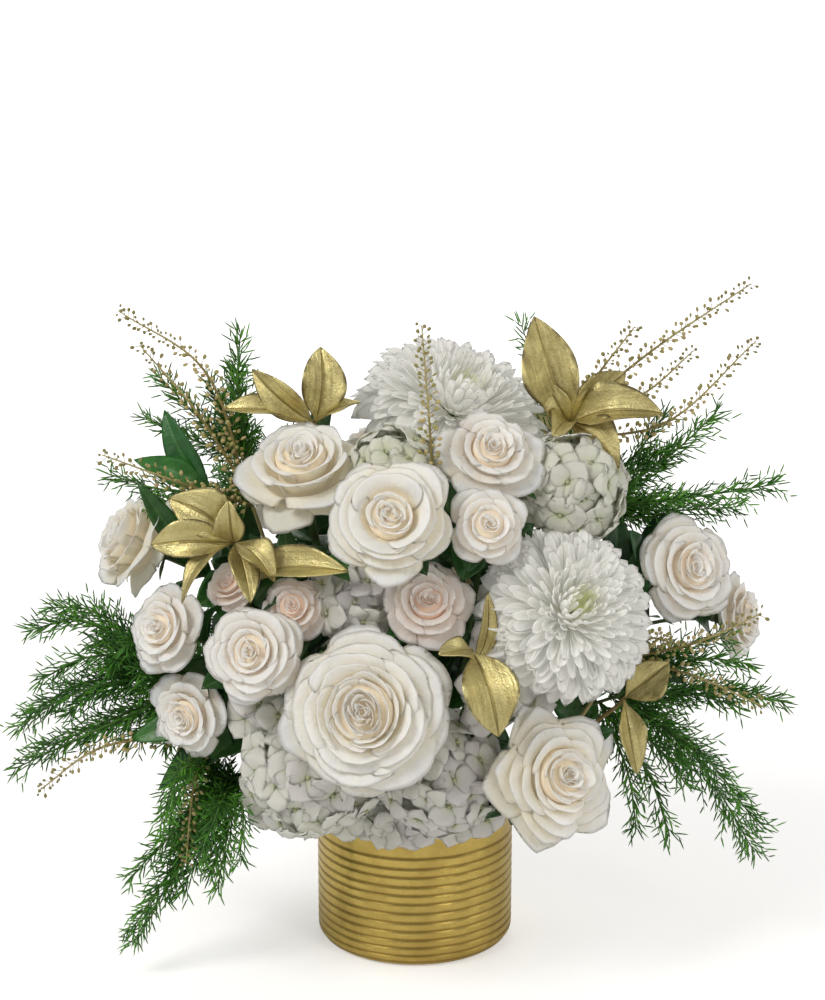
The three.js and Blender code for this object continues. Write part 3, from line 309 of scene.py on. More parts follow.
# A fern: the stem's points, each plume's points with the length of its longest side shoots, and how many
# shorter plumes stand beside each.
FERNS = {
    "fern_left": (
        [side_foot(-174), (-0.092, -0.022, 0.158), (-0.136, -0.034, 0.186), (-0.168, -0.040, 0.208)],
        [([(-0.166, -0.039, 0.206), (-0.212, -0.045, 0.231), (-0.244, -0.050, 0.226)], 0.032),
         ([(-0.150, -0.037, 0.196), (-0.212, -0.056, 0.192), (-0.244, -0.070, 0.176)], 0.032),
         ([(-0.138, -0.035, 0.186), (-0.200, -0.050, 0.164), (-0.241, -0.066, 0.150)], 0.032),
         ([(-0.138, -0.035, 0.186), (-0.158, 0.030, 0.196), (-0.148, 0.088, 0.170)], 0.030)],
        6,
    ),
    "fern_low_left": (
        [side_foot(-160), (-0.092, -0.020, 0.132), (-0.122, -0.036, 0.118)],
        [([(-0.120, -0.035, 0.119), (-0.152, -0.066, 0.078), (-0.183, -0.078, 0.032)], 0.030),
         ([(-0.118, -0.034, 0.119), (-0.134, -0.060, 0.092), (-0.150, -0.072, 0.056)], 0.024),
         ([(-0.118, -0.034, 0.119), (-0.122, -0.098, 0.126), (-0.134, -0.116, 0.098)], 0.026),
         ([(-0.118, -0.034, 0.119), (-0.146, -0.092, 0.146), (-0.160, -0.100, 0.112)], 0.026)],
        4,
    ),
    "fern_upper_left": (
        [top_foot(152, 0.030), (-0.064, 0.016, 0.220), (-0.096, 0.010, 0.300), (-0.112, 0.004, 0.330)],
        [([(-0.110, 0.005, 0.326), (-0.141, -0.002, 0.356), (-0.163, 0.0, 0.380)], 0.026),
         ([(-0.108, 0.006, 0.322), (-0.114, 0.014, 0.370), (-0.112, 0.010, 0.406)], 0.024),
         ([(-0.098, 0.010, 0.302), (-0.160, 0.020, 0.300), (-0.200, 0.016, 0.312)], 0.028),
         ([(-0.098, 0.010, 0.302), (-0.116, 0.056, 0.316), (-0.110, 0.096, 0.326)], 0.028)],
        3,
    ),
    "fern_upper_right": (
        [top_foot(16, 0.034), (0.072, 0.018, 0.220), (0.100, 0.014, 0.280), (0.112, 0.008, 0.296)],
        [([(0.110, 0.009, 0.293), (0.172, -0.008, 0.302), (0.230, -0.020, 0.314)], 0.034),
         ([(0.106, 0.011, 0.288), (0.160, 0.022, 0.318), (0.196, 0.020, 0.352)], 0.032),
         ([(0.098, 0.014, 0.276), (0.092, 0.052, 0.340), (0.070, 0.054, 0.404)], 0.026),
         ([(0.100, 0.014, 0.280), (0.126, 0.060, 0.296), (0.124, 0.108, 0.300)], 0.030)],
        3,
    ),
    "fern_right": (
        [side_foot(-8), (0.098, -0.018, 0.158), (0.134, -0.034, 0.178)],
        [([(0.132, -0.033, 0.177), (0.178, -0.044, 0.204), (0.214, -0.044, 0.202)], 0.030),
         ([(0.130, -0.032, 0.176), (0.180, -0.046, 0.140), (0.222, -0.042, 0.072)], 0.038),
         ([(0.120, -0.028, 0.170), (0.150, -0.052, 0.130), (0.164, -0.060, 0.090)], 0.028),
         ([(0.126, -0.030, 0.174), (0.196, -0.018, 0.176), (0.240, -0.026, 0.170)], 0.030),
         ([(0.126, -0.030, 0.174), (0.150, 0.030, 0.190), (0.142, 0.088, 0.170)], 0.030)],
        2,
    ),
    "fern_back": (
        [side_foot(100), (-0.022, 0.096, 0.150), (-0.030, 0.124, 0.168)],
        [([(-0.030, 0.122, 0.167), (-0.058, 0.152, 0.170), (-0.092, 0.160, 0.152)], 0.030),
         ([(-0.029, 0.122, 0.167), (0.006, 0.158, 0.168), (0.036, 0.164, 0.148)], 0.030),
         ([(-0.030, 0.122, 0.167), (-0.046, 0.140, 0.224), (-0.052, 0.134, 0.282)], 0.028),
         ([(-0.029, 0.122, 0.167), (0.040, 0.136, 0.214), (0.070, 0.138, 0.262)], 0.028),
         ([(-0.029, 0.122, 0.167), (-0.004, 0.134, 0.140), (-0.012, 0.136, 0.104)], 0.024)],
        4,
    ),
}

# A seed spray: the stem's points, then each branch's points.
SEED_SPRAYS = {
    "seeds_upper_left": (
        [top_foot(164, 0.046), (-0.084, 0.006, 0.230), (-0.108, -0.014, 0.310)],
        [[(-0.107, -0.014, 0.306), (-0.132, -0.018, 0.386), (-0.186, -0.020, 0.426)],
         [(-0.106, -0.013, 0.304), (-0.136, -0.026, 0.360), (-0.172, -0.030, 0.406)],
         [(-0.104, -0.012, 0.298), (-0.146, -0.050, 0.322), (-0.194, -0.058, 0.342)]],
    ),
    "seeds_low_left": (
        [side_foot(-147), (-0.098, -0.038, 0.146), (-0.138, -0.052, 0.156)],
        [[(-0.136, -0.051, 0.156), (-0.196, -0.078, 0.158), (-0.237, -0.088, 0.132)],
         [(-0.134, -0.050, 0.155), (-0.140, -0.088, 0.130), (-0.144, -0.100, 0.088)]],
    ),
    "seeds_upper_right": (
        [top_foot(34, 0.020), (0.052, 0.026, 0.230), (0.084, 0.018, 0.320), (0.098, 0.014, 0.350)],
        [[(0.096, 0.015, 0.346), (0.152, 0.006, 0.396), (0.213, 0.0, 0.440)],
         [(0.096, 0.015, 0.346), (0.118, 0.010, 0.380), (0.140, 0.002, 0.412)],
         [(0.094, 0.016, 0.340), (0.146, 0.010, 0.366), (0.178, 0.004, 0.396)],
         [(0.092, 0.016, 0.336), (0.160, -0.002, 0.350), (0.215, -0.016, 0.406)]],
    ),
    "seeds_right": (
        [side_foot(-22), (0.104, -0.036, 0.160), (0.126, -0.044, 0.204)],
        [[(0.126, -0.044, 0.203), (0.172, -0.058, 0.200), (0.218, -0.086, 0.187)],
         [(0.126, -0.044, 0.203), (0.178, -0.062, 0.222), (0.217, -0.066, 0.242)],
         [(0.126, -0.044, 0.203), (0.146, -0.056, 0.222), (0.158, -0.088, 0.230)]],
    ),
    "seeds_top": (
        [top_foot(-68, 0.016), (0.014, -0.036, 0.240), (0.011, -0.064, 0.322)],
        [[(0.011, -0.064, 0.322), (0.009, -0.076, 0.362), (0.004, -0.062, 0.424)]],
    ),
}

# ------------------------------------------------------------------ petal forms

# The rings of petals of a rose, from the heart out, in shares of its radius. A petal rises as a wall to its
# knee and then leans out to its rim. wrap is half the angle that it takes round the axis, in radians, roll is
# how far its rim turns back, and tip is how pointed it is.
RING_VALUES = ("petals", "knee", "knee_height", "rim", "rim_height", "wrap", "roll", "tip")
ROSE_FORMS = {
    "garden": (
        (3, 0.04, 0.50, 0.06, 0.62, 1.60, 0.00, 0.00), (4, 0.09, 0.50, 0.11, 0.63, 1.30, 0.00, 0.00),
        (5, 0.145, 0.50, 0.168, 0.65, 1.10, 0.00, 0.02), (5, 0.20, 0.50, 0.23, 0.66, 1.00, 0.005, 0.02),
        (6, 0.26, 0.50, 0.295, 0.67, 0.92, 0.01, 0.02), (6, 0.32, 0.50, 0.36, 0.67, 0.88, 0.015, 0.03),
        (6, 0.385, 0.48, 0.435, 0.66, 0.85, 0.02, 0.04), (5, 0.46, 0.46, 0.56, 0.63, 1.00, 0.04, 0.05),
        (5, 0.53, 0.46, 0.70, 0.56, 0.98, 0.05, 0.08), (5, 0.58, 0.40, 0.84, 0.46, 0.95, 0.06, 0.12),
        (5, 0.60, 0.32, 0.95, 0.34, 0.92, 0.06, 0.16), (6, 0.60, 0.24, 1.03, 0.24, 0.82, 0.06, 0.20),
    ),
    "spiral": (
        (3, 0.04, 0.70, 0.06, 0.80, 1.80, 0.00, 0.00), (3, 0.09, 0.70, 0.12, 0.82, 1.50, 0.00, 0.02),
        (4, 0.15, 0.69, 0.19, 0.82, 1.30, 0.01, 0.06), (5, 0.22, 0.67, 0.28, 0.80, 1.10, 0.02, 0.10),
        (5, 0.30, 0.63, 0.38, 0.77, 1.00, 0.03, 0.16), (5, 0.38, 0.58, 0.50, 0.72, 1.00, 0.05, 0.22),
        (5, 0.46, 0.52, 0.64, 0.64, 0.95, 0.07, 0.28), (5, 0.53, 0.44, 0.78, 0.53, 0.90, 0.09, 0.32),
        (5, 0.57, 0.34, 0.91, 0.38, 0.82, 0.10, 0.36), (5, 0.57, 0.22, 1.02, 0.22, 0.75, 0.10, 0.40),
    ),
    "flared": (
        (3, 0.05, 0.80, 0.08, 0.86, 1.90, 0.00, 0.00), (3, 0.12, 0.80, 0.16, 0.88, 1.60, 0.00, 0.00),
        (4, 0.19, 0.79, 0.24, 0.89, 1.40, 0.01, 0.02), (4, 0.28, 0.77, 0.34, 0.89, 1.30, 0.02, 0.03),
        (4, 0.38, 0.72, 0.48, 0.86, 1.20, 0.03, 0.06), (5, 0.49, 0.62, 0.66, 0.76, 1.05, 0.06, 0.12),
        (4, 0.55, 0.46, 0.93, 0.54, 0.95, 0.09, 0.30), (5, 0.54, 0.24, 0.94, 0.12, 0.82, 0.08, 0.38),
    ),
    "cup": (
        (2, 0.05, 0.52, 0.09, 0.60, 1.70, 0.00, 0.00), (3, 0.13, 0.52, 0.17, 0.61, 1.40, 0.00, 0.00),
        (3, 0.21, 0.52, 0.26, 0.62, 1.50, 0.01, 0.00), (4, 0.31, 0.52, 0.36, 0.62, 1.20, 0.02, 0.02),
        (3, 0.44, 0.50, 0.64, 0.70, 1.50, 0.03, 0.00), (4, 0.52, 0.47, 0.76, 0.62, 1.15, 0.06, 0.03),
        (5, 0.60, 0.40, 0.91, 0.47, 0.90, 0.08, 0.10), (5, 0.61, 0.28, 1.04, 0.28, 0.80, 0.09, 0.26),
    ),
    "ruffled": (
        (3, 0.04, 0.68, 0.07, 0.76, 1.90, 0.00, 0.00), (3, 0.11, 0.68, 0.15, 0.78, 1.60, 0.00, 0.00),
        (4, 0.19, 0.66, 0.25, 0.77, 1.30, 0.01, 0.02), (5, 0.29, 0.62, 0.38, 0.74, 1.10, 0.03, 0.03),
        (5, 0.40, 0.56, 0.56, 0.68, 1.05, 0.06, 0.05), (5, 0.51, 0.46, 0.76, 0.55, 0.95, 0.08, 0.10),
        (5, 0.57, 0.32, 0.97, 0.34, 0.85, 0.09, 0.16),
    ),
    "swirl": (
        (2, 0.05, 0.54, 0.09, 0.62, 1.80, 0.00, 0.00), (3, 0.13, 0.54, 0.18, 0.64, 1.50, 0.00, 0.00),
        (3, 0.23, 0.54, 0.29, 0.65, 1.40, 0.01, 0.00), (4, 0.34, 0.52, 0.43, 0.66, 1.20, 0.02, 0.02),
        (4, 0.46, 0.50, 0.62, 0.64, 1.15, 0.04, 0.04), (5, 0.55, 0.44, 0.79, 0.54, 1.00, 0.07, 0.08),
        (5, 0.60, 0.34, 0.92, 0.38, 0.90, 0.08, 0.14), (5, 0.60, 0.24, 1.02, 0.22, 0.80, 0.08, 0.20),
    ),
    "goblet": (
        (2, 0.05, 0.74, 0.08, 0.82, 1.90, 0.00, 0.00), (3, 0.12, 0.74, 0.17, 0.84, 1.60, 0.00, 0.00),
        (3, 0.22, 0.72, 0.29, 0.84, 1.50, 0.01, 0.00), (4, 0.34, 0.66, 0.46, 0.80, 1.25, 0.03, 0.02),
        (4, 0.44, 0.56, 0.64, 0.70, 1.15, 0.05, 0.04), (5, 0.52, 0.42, 0.82, 0.52, 1.00, 0.08, 0.08),
        (4, 0.54, 0.28, 0.98, 0.32, 0.90, 0.09, 0.14),
    ),
}
RUFFLES = {"ruffled": 0.032, "cup": 0.020, "goblet": 0.022, "swirl": 0.020}  # how far a rim waves
PLUG = (0.36, 0.15)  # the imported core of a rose: its radius, and how far its top lies under the rims


# ------------------------------------------------------------------ arrays


def unit(vectors):
    """Vectors scaled to length one."""
    length = np.linalg.norm(vectors, axis=-1, keepdims=True)
    return vectors / np.maximum(length, 1e-12)


def ease(low, high, x):
    """Rises smoothly from 0 at low to 1 at high."""
    t = np.clip((x - low) / (high - low), 0, 1)
    return t * t * (3 - 2 * t)


def lerp(a, b, t):
    return a + (b - a) * t


def heading(vector):
    """A vector's direction."""
    return unit(np.array(vector, float))


def stacked(*values):
    """Values that fit each other, as one array of vectors."""
    return np.stack(np.broadcast_arrays(*values), axis=-1)


def patch_grid(rows, columns):
    """The parameters of a patch: v from 0 at its root to 1 at its tip, and u from -1 to 1 across it."""
    return np.linspace(0, 1, rows)[None, :, None], np.linspace(-1, 1, columns)[None, None, :]


def circle(count):
    """Angles evenly round a circle."""
    return 2 * np.pi * np.arange(count) / count


def cubic(a, b, c, d, t):
    """A cubic Bezier curve: the four values weighted by the Bernstein polynomials of t."""
    s = 1 - t
    return a * s**3 + 3 * b * s * s * t + 3 * c * s * t * t + d * t**3


def bend(start, leaving, end, arriving, share, t):
    """A cubic that leaves start and reaches end in the given directions, pulled by a share of the way."""
    pull = share * np.linalg.norm(end - start)
    return cubic(start, start + leaving * pull, end - arriving * pull, end, t[:, None])


def through(corners, per_stretch=6):
    """A smooth line through the corners: on each stretch a cubic whose end slopes are half the chords between
    the corners on either side."""
    p = np.array(corners, float)
    slope = np.empty_like(p)
    slope[1:-1] = (p[2:] - p[:-2]) / 2
    slope[0], slope[-1] = p[1] - p[0], p[-1] - p[-2]
    t = np.linspace(0, 1, per_stretch, endpoint=False)[None, :, None]
    a, b, m, n = (x[:, None, :] for x in (p[:-1], p[1:], slope[:-1], slope[1:]))
    line = cubic(a, a + m / 3, b - n / 3, b, t).reshape(-1, 3)
    return np.vstack([line, p[-1:]])


def walk(line, shares):
    """Points and directions at shares of a line's length."""
    steps = np.linalg.norm(np.diff(line, axis=0), axis=1)
    length = np.concatenate([[0], np.cumsum(steps)])
    at = np.asarray(shares) * length[-1]
    points = np.stack([np.interp(at, length, line[:, k]) for k in range(3)], axis=1)
    slopes = unit(np.gradient(line, axis=0))
    directions = np.stack([np.interp(at, length, slopes[:, k]) for k in range(3)], axis=1)
    return points, unit(directions), length[-1]


def turned(vectors, axes, angles):
    """Vectors turned about unit axes: the part along the axis stays, the rest turns by the angle."""
    c, s = np.cos(angles)[..., None], np.sin(angles)[..., None]
    along = np.sum(vectors * axes, axis=-1, keepdims=True)
    return vectors * c + np.cross(axes, vectors) * s + axes * along * (1 - c)


def placed(points, base, facing, spin=0.0):
    """Points about the z axis, turned by spin, tipped so that z looks along facing, and moved to base."""
    tip = Vector((0, 0, 1)).rotation_difference(Vector(facing).normalized()).to_matrix()
    c, s = math.cos(spin), math.sin(spin)
    matrix = np.array(tip) @ np.array([[c, -s, 0], [s, c, 0], [0, 0, 1]])
    return points @ matrix.T + np.array(base)


# ------------------------------------------------------------------ meshes


class Pile:
    """The patches of one piece: points, faces with three or four corners, and two vectors for each point.
    shade holds the share of the way from root to tip, the stage from heart to outside, and a chance value.
    grain holds the place across and along the patch in metres, and a chance value."""

    def __init__(self):
        self.points, self.shade, self.grain = [], [], []
        self.faces = {3: [], 4: []}
        self.slots = {3: [], 4: []}
        self.count = 0

    def add(self, points, faces, shade, grain, slot=0):
        points = np.asarray(points, float).reshape(-1, 3)
        self.points.append(points)
        self.shade.append(np.broadcast_to(shade, points.shape).reshape(-1, 3))
        self.grain.append(np.broadcast_to(grain, points.shape).reshape(-1, 3))
        for group in faces:
            corners = np.asarray(group).reshape(-1, group.shape[-1]) + self.count
            self.faces[corners.shape[1]].append(corners)
            self.slots[corners.shape[1]].append(np.full(len(corners), slot))
        self.count += len(points)

    def make(self, name, *materials):
        """The mesh object, at the origin, with its place in its points."""
        mesh = bpy.data.meshes.new(name)
        points = np.vstack(self.points)
        corners, sizes, slots = [], [], []
        for size in (3, 4):
            if self.faces[size]:
                faces = np.vstack(self.faces[size])
                corners.append(faces.ravel())
                sizes.append(np.full(len(faces), size))
                slots.append(np.concatenate(self.slots[size]))
        corners, sizes = np.concatenate(corners), np.concatenate(sizes)
        mesh.vertices.add(len(points))
        mesh.vertices.foreach_set("co", points.astype(np.float32).ravel())
        mesh.loops.add(len(corners))
        mesh.loops.foreach_set("vertex_index", corners.astype(np.int32))
        mesh.polygons.add(len(sizes))
        mesh.polygons.foreach_set("loop_start", (np.cumsum(sizes) - sizes).astype(np.int32))
        mesh.polygons.foreach_set("material_index", np.concatenate(slots).astype(np.int32))
        for label, values in (("shade", self.shade), ("grain", self.grain)):
            attribute = mesh.attributes.new(label, "FLOAT_VECTOR", "POINT")
            attribute.data.foreach_set("vector", np.vstack(values).astype(np.float32).ravel())
        mesh.update(calc_edges=True)
        mesh.shade_smooth()
        if mesh.validate():
            raise RuntimeError(name + " holds a broken face")
        for material in materials:
            mesh.materials.append(material)
        made = bpy.data.objects.new(name, mesh)
        bpy.context.scene.collection.objects.link(made)
        return made


def ring_faces(rings, sides):
    """The faces of a closed shape: a first point, rings of the given number of sides, and a last point. Gives
    the fans at both ends and the walls between the rings."""
    here, after = np.arange(sides), (np.arange(sides) + 1) % sides
    step = 1 + sides * np.arange(rings - 1)[:, None]
    last = 1 + sides * (rings - 1)
    first_fan = np.stack([np.zeros(sides, int), 1 + after, 1 + here], axis=1)
    last_fan = np.stack([np.full(sides, last + sides), last + here, last + after], axis=1)
    walls = np.stack([step + here, step + after, step + sides + after, step + sides + here], axis=-1)
    return np.vstack([first_fan, last_fan]), walls.reshape(-1, 4)


def add_blades(pile, middle, half, shade, grain, slot=0):
    """Closed thin blades. middle is (blades, rows, columns, 3), the surface halfway through each. The front
    is that surface moved by half along its normal, the back is moved the other way. Both share the rim."""
    count, rows, columns, _ = middle.shape
    normal = unit(np.cross(np.gradient(middle, axis=2), np.gradient(middle, axis=1)))
    thick = np.full((rows, columns), float(half))
    thick[0], thick[-1], thick[:, 0], thick[:, -1] = 0, 0, 0, 0
    offset = normal * thick[None, :, :, None]
    inner = (slice(None), slice(1, -1), slice(1, -1))
    front = np.arange(count * rows * columns).reshape(count, rows, columns)
    back = front.copy()
    within = (count, rows - 2, columns - 2)
    back[inner] = np.arange(math.prod(within)).reshape(within) + front.size
    quads = []
    for sheet, way in ((front, 1), (back, -1)):
        ring = [sheet[:, :-1, :-1], sheet[:, :-1, 1:], sheet[:, 1:, 1:], sheet[:, 1:, :-1]]
        quads.append(np.stack(ring[::way], axis=-1).reshape(-1, 4))
    both = [np.broadcast_to(x, middle.shape) for x in (middle + offset, shade, grain)]
    behind = [(middle - offset)[inner], both[1][inner], both[2][inner]]
    merged = [np.vstack([a.reshape(-1, 3), b.reshape(-1, 3)]) for a, b in zip(both, behind)]
    pile.add(merged[0], [np.vstack(quads)], merged[1], merged[2], slot)


def add_spindles(pile, roots, directions, lengths, radii, profile, sides, shade, slot=0, sag=0.0):
    """Small turned shapes. profile lists shares of the length with shares of the radius; its first and last
    points lie on the axis. Each ring is that far along the direction and that far out from it, and moved by
    sag times the square of its share of the length."""
    count = len(roots)
    profile = np.array(profile)
    helper = np.where(np.abs(directions[:, 2:]) < 0.9, [[0.0, 0.0, 1.0]], [[1.0, 0.0, 0.0]])
    across = unit(np.cross(helper, directions))
    other = np.cross(directions, across)
    angle = circle(sides)
    rings = profile[1:-1]
    out = np.cos(angle)[:, None] * across[:, None] + np.sin(angle)[:, None] * other[:, None]
    lengths, radii = np.broadcast_to(lengths, count), np.broadcast_to(radii, count)
    sag = np.broadcast_to(sag, roots.shape)
    centre = roots[:, None] + directions[:, None] * (rings[:, 0][None, :, None] * lengths[:, None, None])
    centre = centre + sag[:, None] * rings[:, 0][None, :, None] ** 2
    reach = (rings[:, 1][None, :] * radii[:, None])[:, :, None, None]
    body = centre[:, :, None] + out[:, None] * reach
    ends = [roots + directions * (share * lengths)[:, None] + sag * share**2 for share in profile[[0, -1], 0]]
    points = np.concatenate([ends[0][:, None], body.reshape(count, -1, 3), ends[1][:, None]], axis=1)
    size = points.shape[1]
    start = (np.arange(count) * size)[:, None, None]
    faces = [start + group[None] for group in ring_faces(len(rings), sides)]
    tone = np.broadcast_to(np.asarray(shade, float).reshape(-1, 1, 3), (count, size, 3)).copy()
    tone[:, :, 0] = np.concatenate([profile[:1, 0], np.repeat(rings[:, 0], sides), profile[-1:, 0]])
    pile.add(points, faces, tone.reshape(-1, 3), points.reshape(-1, 3), slot)


def add_tube(pile, line, radii, sides, stage=0.0, slot=0):
    """A round rod along a line, closed by a point at each end: each ring is the line's point plus the radius
    times a circle square to the line."""
    slope = unit(np.gradient(line, axis=0))
    helper = np.eye(3)[np.argmin(np.abs(slope).mean(axis=0))]
    across = unit(np.cross(slope, helper))
    other = np.cross(slope, across)
    angle = circle(sides)
    radii = np.interp(np.linspace(0, 1, len(line)), np.linspace(0, 1, len(radii)), radii)
    round_it = np.cos(angle)[None, :, None] * across[:, None] + np.sin(angle)[None, :, None] * other[:, None]
    rings = line[:, None] + round_it * radii[:, None, None]
    points = np.vstack([line[:1], rings.reshape(-1, 3), line[-1:]])
    fans, walls = ring_faces(len(line), sides)
    tone = np.tile([0.0, stage, 0.5], (len(points), 1))
    tone[1:-1, 0] = np.repeat(np.linspace(0, 1, len(line)), sides)
    tone[-1, 0] = 1
    pile.add(points, [walls[:, [0, 3, 2, 1]], fans[:, [0, 2, 1]]], tone, points, slot)


def add_leaves(pile, starts, tips, widths, ups, rng, form, slot=0):
    """Leaves. Each runs from its start to its tip with a low arch. Half its width is a power of the sine of
    the way along, its two sides rise from the midrib, and its rim waves. form is one of the leaf forms."""
    starts, tips = np.array(starts, float), np.array(tips, float)
    count = len(starts)
    along = tips - starts
    length = np.linalg.norm(along, axis=1)[:, None, None]
    side = unit(np.cross(along, np.array(ups, float)))
    normal = unit(np.cross(side, along))
    v, u = patch_grid(*form["grid"])
    chance = rng.uniform(-1, 1, (count, 5))[:, :, None, None]
    way = np.clip((v - form["stalk"]) / (1 - form["stalk"]), 0, 1)
    half = np.array(widths)[:, None, None] / 2 * np.sin(np.pi * way ** form["egg"]) ** 0.8
    half = np.maximum(half, form["rib"] * (1 - 0.6 * v))
    bow = form["arch"] * length * np.sin(np.pi * v) * (1 + 0.3 * chance[:, 0])
    rise = half * (form["fold"] * np.abs(u) + form["cup"] * u * u * (1 + 0.6 * chance[:, 1]))
    ripple = form["wave"] * half * np.abs(u) ** 2 * np.sin(9 * v + 6 * chance[:, 2] + 1.5 * np.sign(u))
    sway = 0.06 * length * chance[:, 3] * np.sin(np.pi * v)
    twist = form["twist"] * chance[:, 4] * v * u * half
    lift = bow + rise + ripple + twist
    sweep = u * half * np.cos(np.clip(form["cup"] * np.abs(u), 0, 1)) + sway
    vectors = (along[:, None, None], side[:, None, None], normal[:, None, None])
    middle = starts[:, None, None] + vectors[0] * v[..., None]
    middle = middle + vectors[1] * sweep[..., None] + vectors[2] * lift[..., None]
    luck = rng.uniform(0, 1, (count, 1, 1))
    shade = stacked(v, np.abs(u), luck)
    grain = stacked(u * half, v * length, luck * 3)
    add_blades(pile, middle, form["thickness"] / 2, shade, grain, slot)


# ------------------------------------------------------------------ blooms


def add_rose(pile, base, facing, radius, turn, form, rng, grid, thickness):
    """A rose. The petals of a ring stand evenly round the axis, and each ring is turned by the golden angle.
    In the plane of radius and height a petal's midline is a quarter ellipse up to the knee and a power curve
    from there to the rim. The sides of its rim are cut back, which leaves a point, and roll down behind it.
    One edge of a petal lies inside its neighbour and the other outside. The heart is pinched to an oval, and
    a packed core closes it."""
    rings = np.array(ROSE_FORMS[form])
    ring = np.repeat(np.arange(len(rings)), rings[:, 0].astype(int))
    read = dict(zip(RING_VALUES, rings[ring].T[:, :, None, None]))
    chance = rng.uniform(-1, 1, (len(ring), 11))[:, :, None, None]
    v, u = patch_grid(*grid)
    spin = math.radians(turn)
    side, outer = np.abs(u), read["rim"]
    tip = np.clip(read["tip"] * 2.8, 0, 1)
    crown = 1 - lerp(0.08, 0.30, tip) * side ** lerp(2.6, 1.25, tip) + 0.05 * chance[:, 9] * u
    t = v * crown
    rise = 1 - (1 - np.clip(t / 0.62, 0, 1)) ** 2
    lean = np.clip((t - 0.34) / 0.66, 0, 1.1) ** 1.7
    rim = read["rim"] * (1 + 0.06 * chance[:, 0])
    rim_height = read["rim_height"] * (1 + 0.07 * chance[:, 1])
    spread = 1 - (1 - np.clip(t / 0.45, 0, 1)) ** 2
    out = 0.03 + (read["knee"] - 0.03) * spread + (rim - read["knee"]) * lean
    up = -0.12 + (read["knee_height"] + 0.12) * rise + (rim_height - read["knee_height"]) * lean
    roll = read["roll"] * (1 + 0.5 * chance[:, 2])
    hem = ease(0.68, 1.0, v) ** 1.3
    flank = side**3 * ease(0.35, 0.95, v)
    out = out + roll * (hem * (0.45 - 0.15 * side) + 0.12 * flank)
    up = up - roll * (hem**1.5 * (0.1 + 0.9 * side**1.6) + 0.4 * flank)
    loose = 0.12 + outer
    wave = loose * (0.04 * np.sin(2.4 * u + 5 * chance[:, 3]) + 0.045 * chance[:, 10] * u) * v**2
    ripple = RUFFLES.get(form, 0.018) * loose
    frill = ripple * (np.sin(6 * u + 7 * chance[:, 4]) + 0.5 * np.sin(14 * u + 9 * chance[:, 7])) * v**5
    crease = 0.02 * outer * np.exp(-((u / 0.2) ** 2)) * v**2
    tuck = 0.05 * u * (1 - 0.5 * outer)
    out = out * (1 + tuck) + wave * 0.6 + frill * 0.5
    up = up + wave + frill - crease
    wrap = read["wrap"] * (1 + 0.12 * chance[:, 5]) * (1 - 0.22 * v**4 - 0.28 * (1 - v) ** 2 * outer)
    place = np.concatenate([np.arange(n) / n for n in rings[:, 0].astype(int)])
    angle = (2 * np.pi * place + ring * GOLDEN_ANGLE + spin)[:, None, None] + u * wrap + 0.18 * chance[:, 6]
    x, y = out * np.cos(angle), out * np.sin(angle)
    course = (place * 2 * np.pi + ring * GOLDEN_ANGLE * 2)[:, None, None]
    shift = 0.06 * ease(0.46, 0.2, outer) * v
    x, y = x + shift * np.cos(course), y + shift * np.sin(course)
    pinch = 0.20 * ease(0.5, 0.25, outer) * (x * math.cos(2 * spin) + y * math.sin(2 * spin))
    x, y = x - pinch * math.cos(2 * spin), y - pinch * math.sin(2 * spin)
    middle = stacked(x, y, up) * radius
    # depth: how far a point lies under the rims; the petal material turns it warmer with depth, partly as
    # painted shade, and darkens the crevices as painted shade.
    brim = np.interp(np.hypot(x, y), rings[:, 3], rings[:, 4])
    depth = np.clip((brim - up) / 0.5, 0, 1)
    luck = (chance[:, 8] + 1) / 2
    shade = stacked(depth, outer, luck)
    grain = stacked(u * wrap * out * radius, v * radius, luck * 3)
    add_blades(pile, placed(middle, base, facing), thickness / 2, shade, grain)
    core, sunk = PLUG
    reach = np.linspace(1, 0, 9)
    level = np.interp(reach * core, rings[:, 3], rings[:, 4]) - sunk
    heap = [(0, 0), (0.02, 1), *zip(level, reach)]
    axis = heading(facing)[None]
    add_spindles(pile, np.array(base)[None], axis, radius, core * radius, heap, 20, [[0, 0.15, 0.5]])


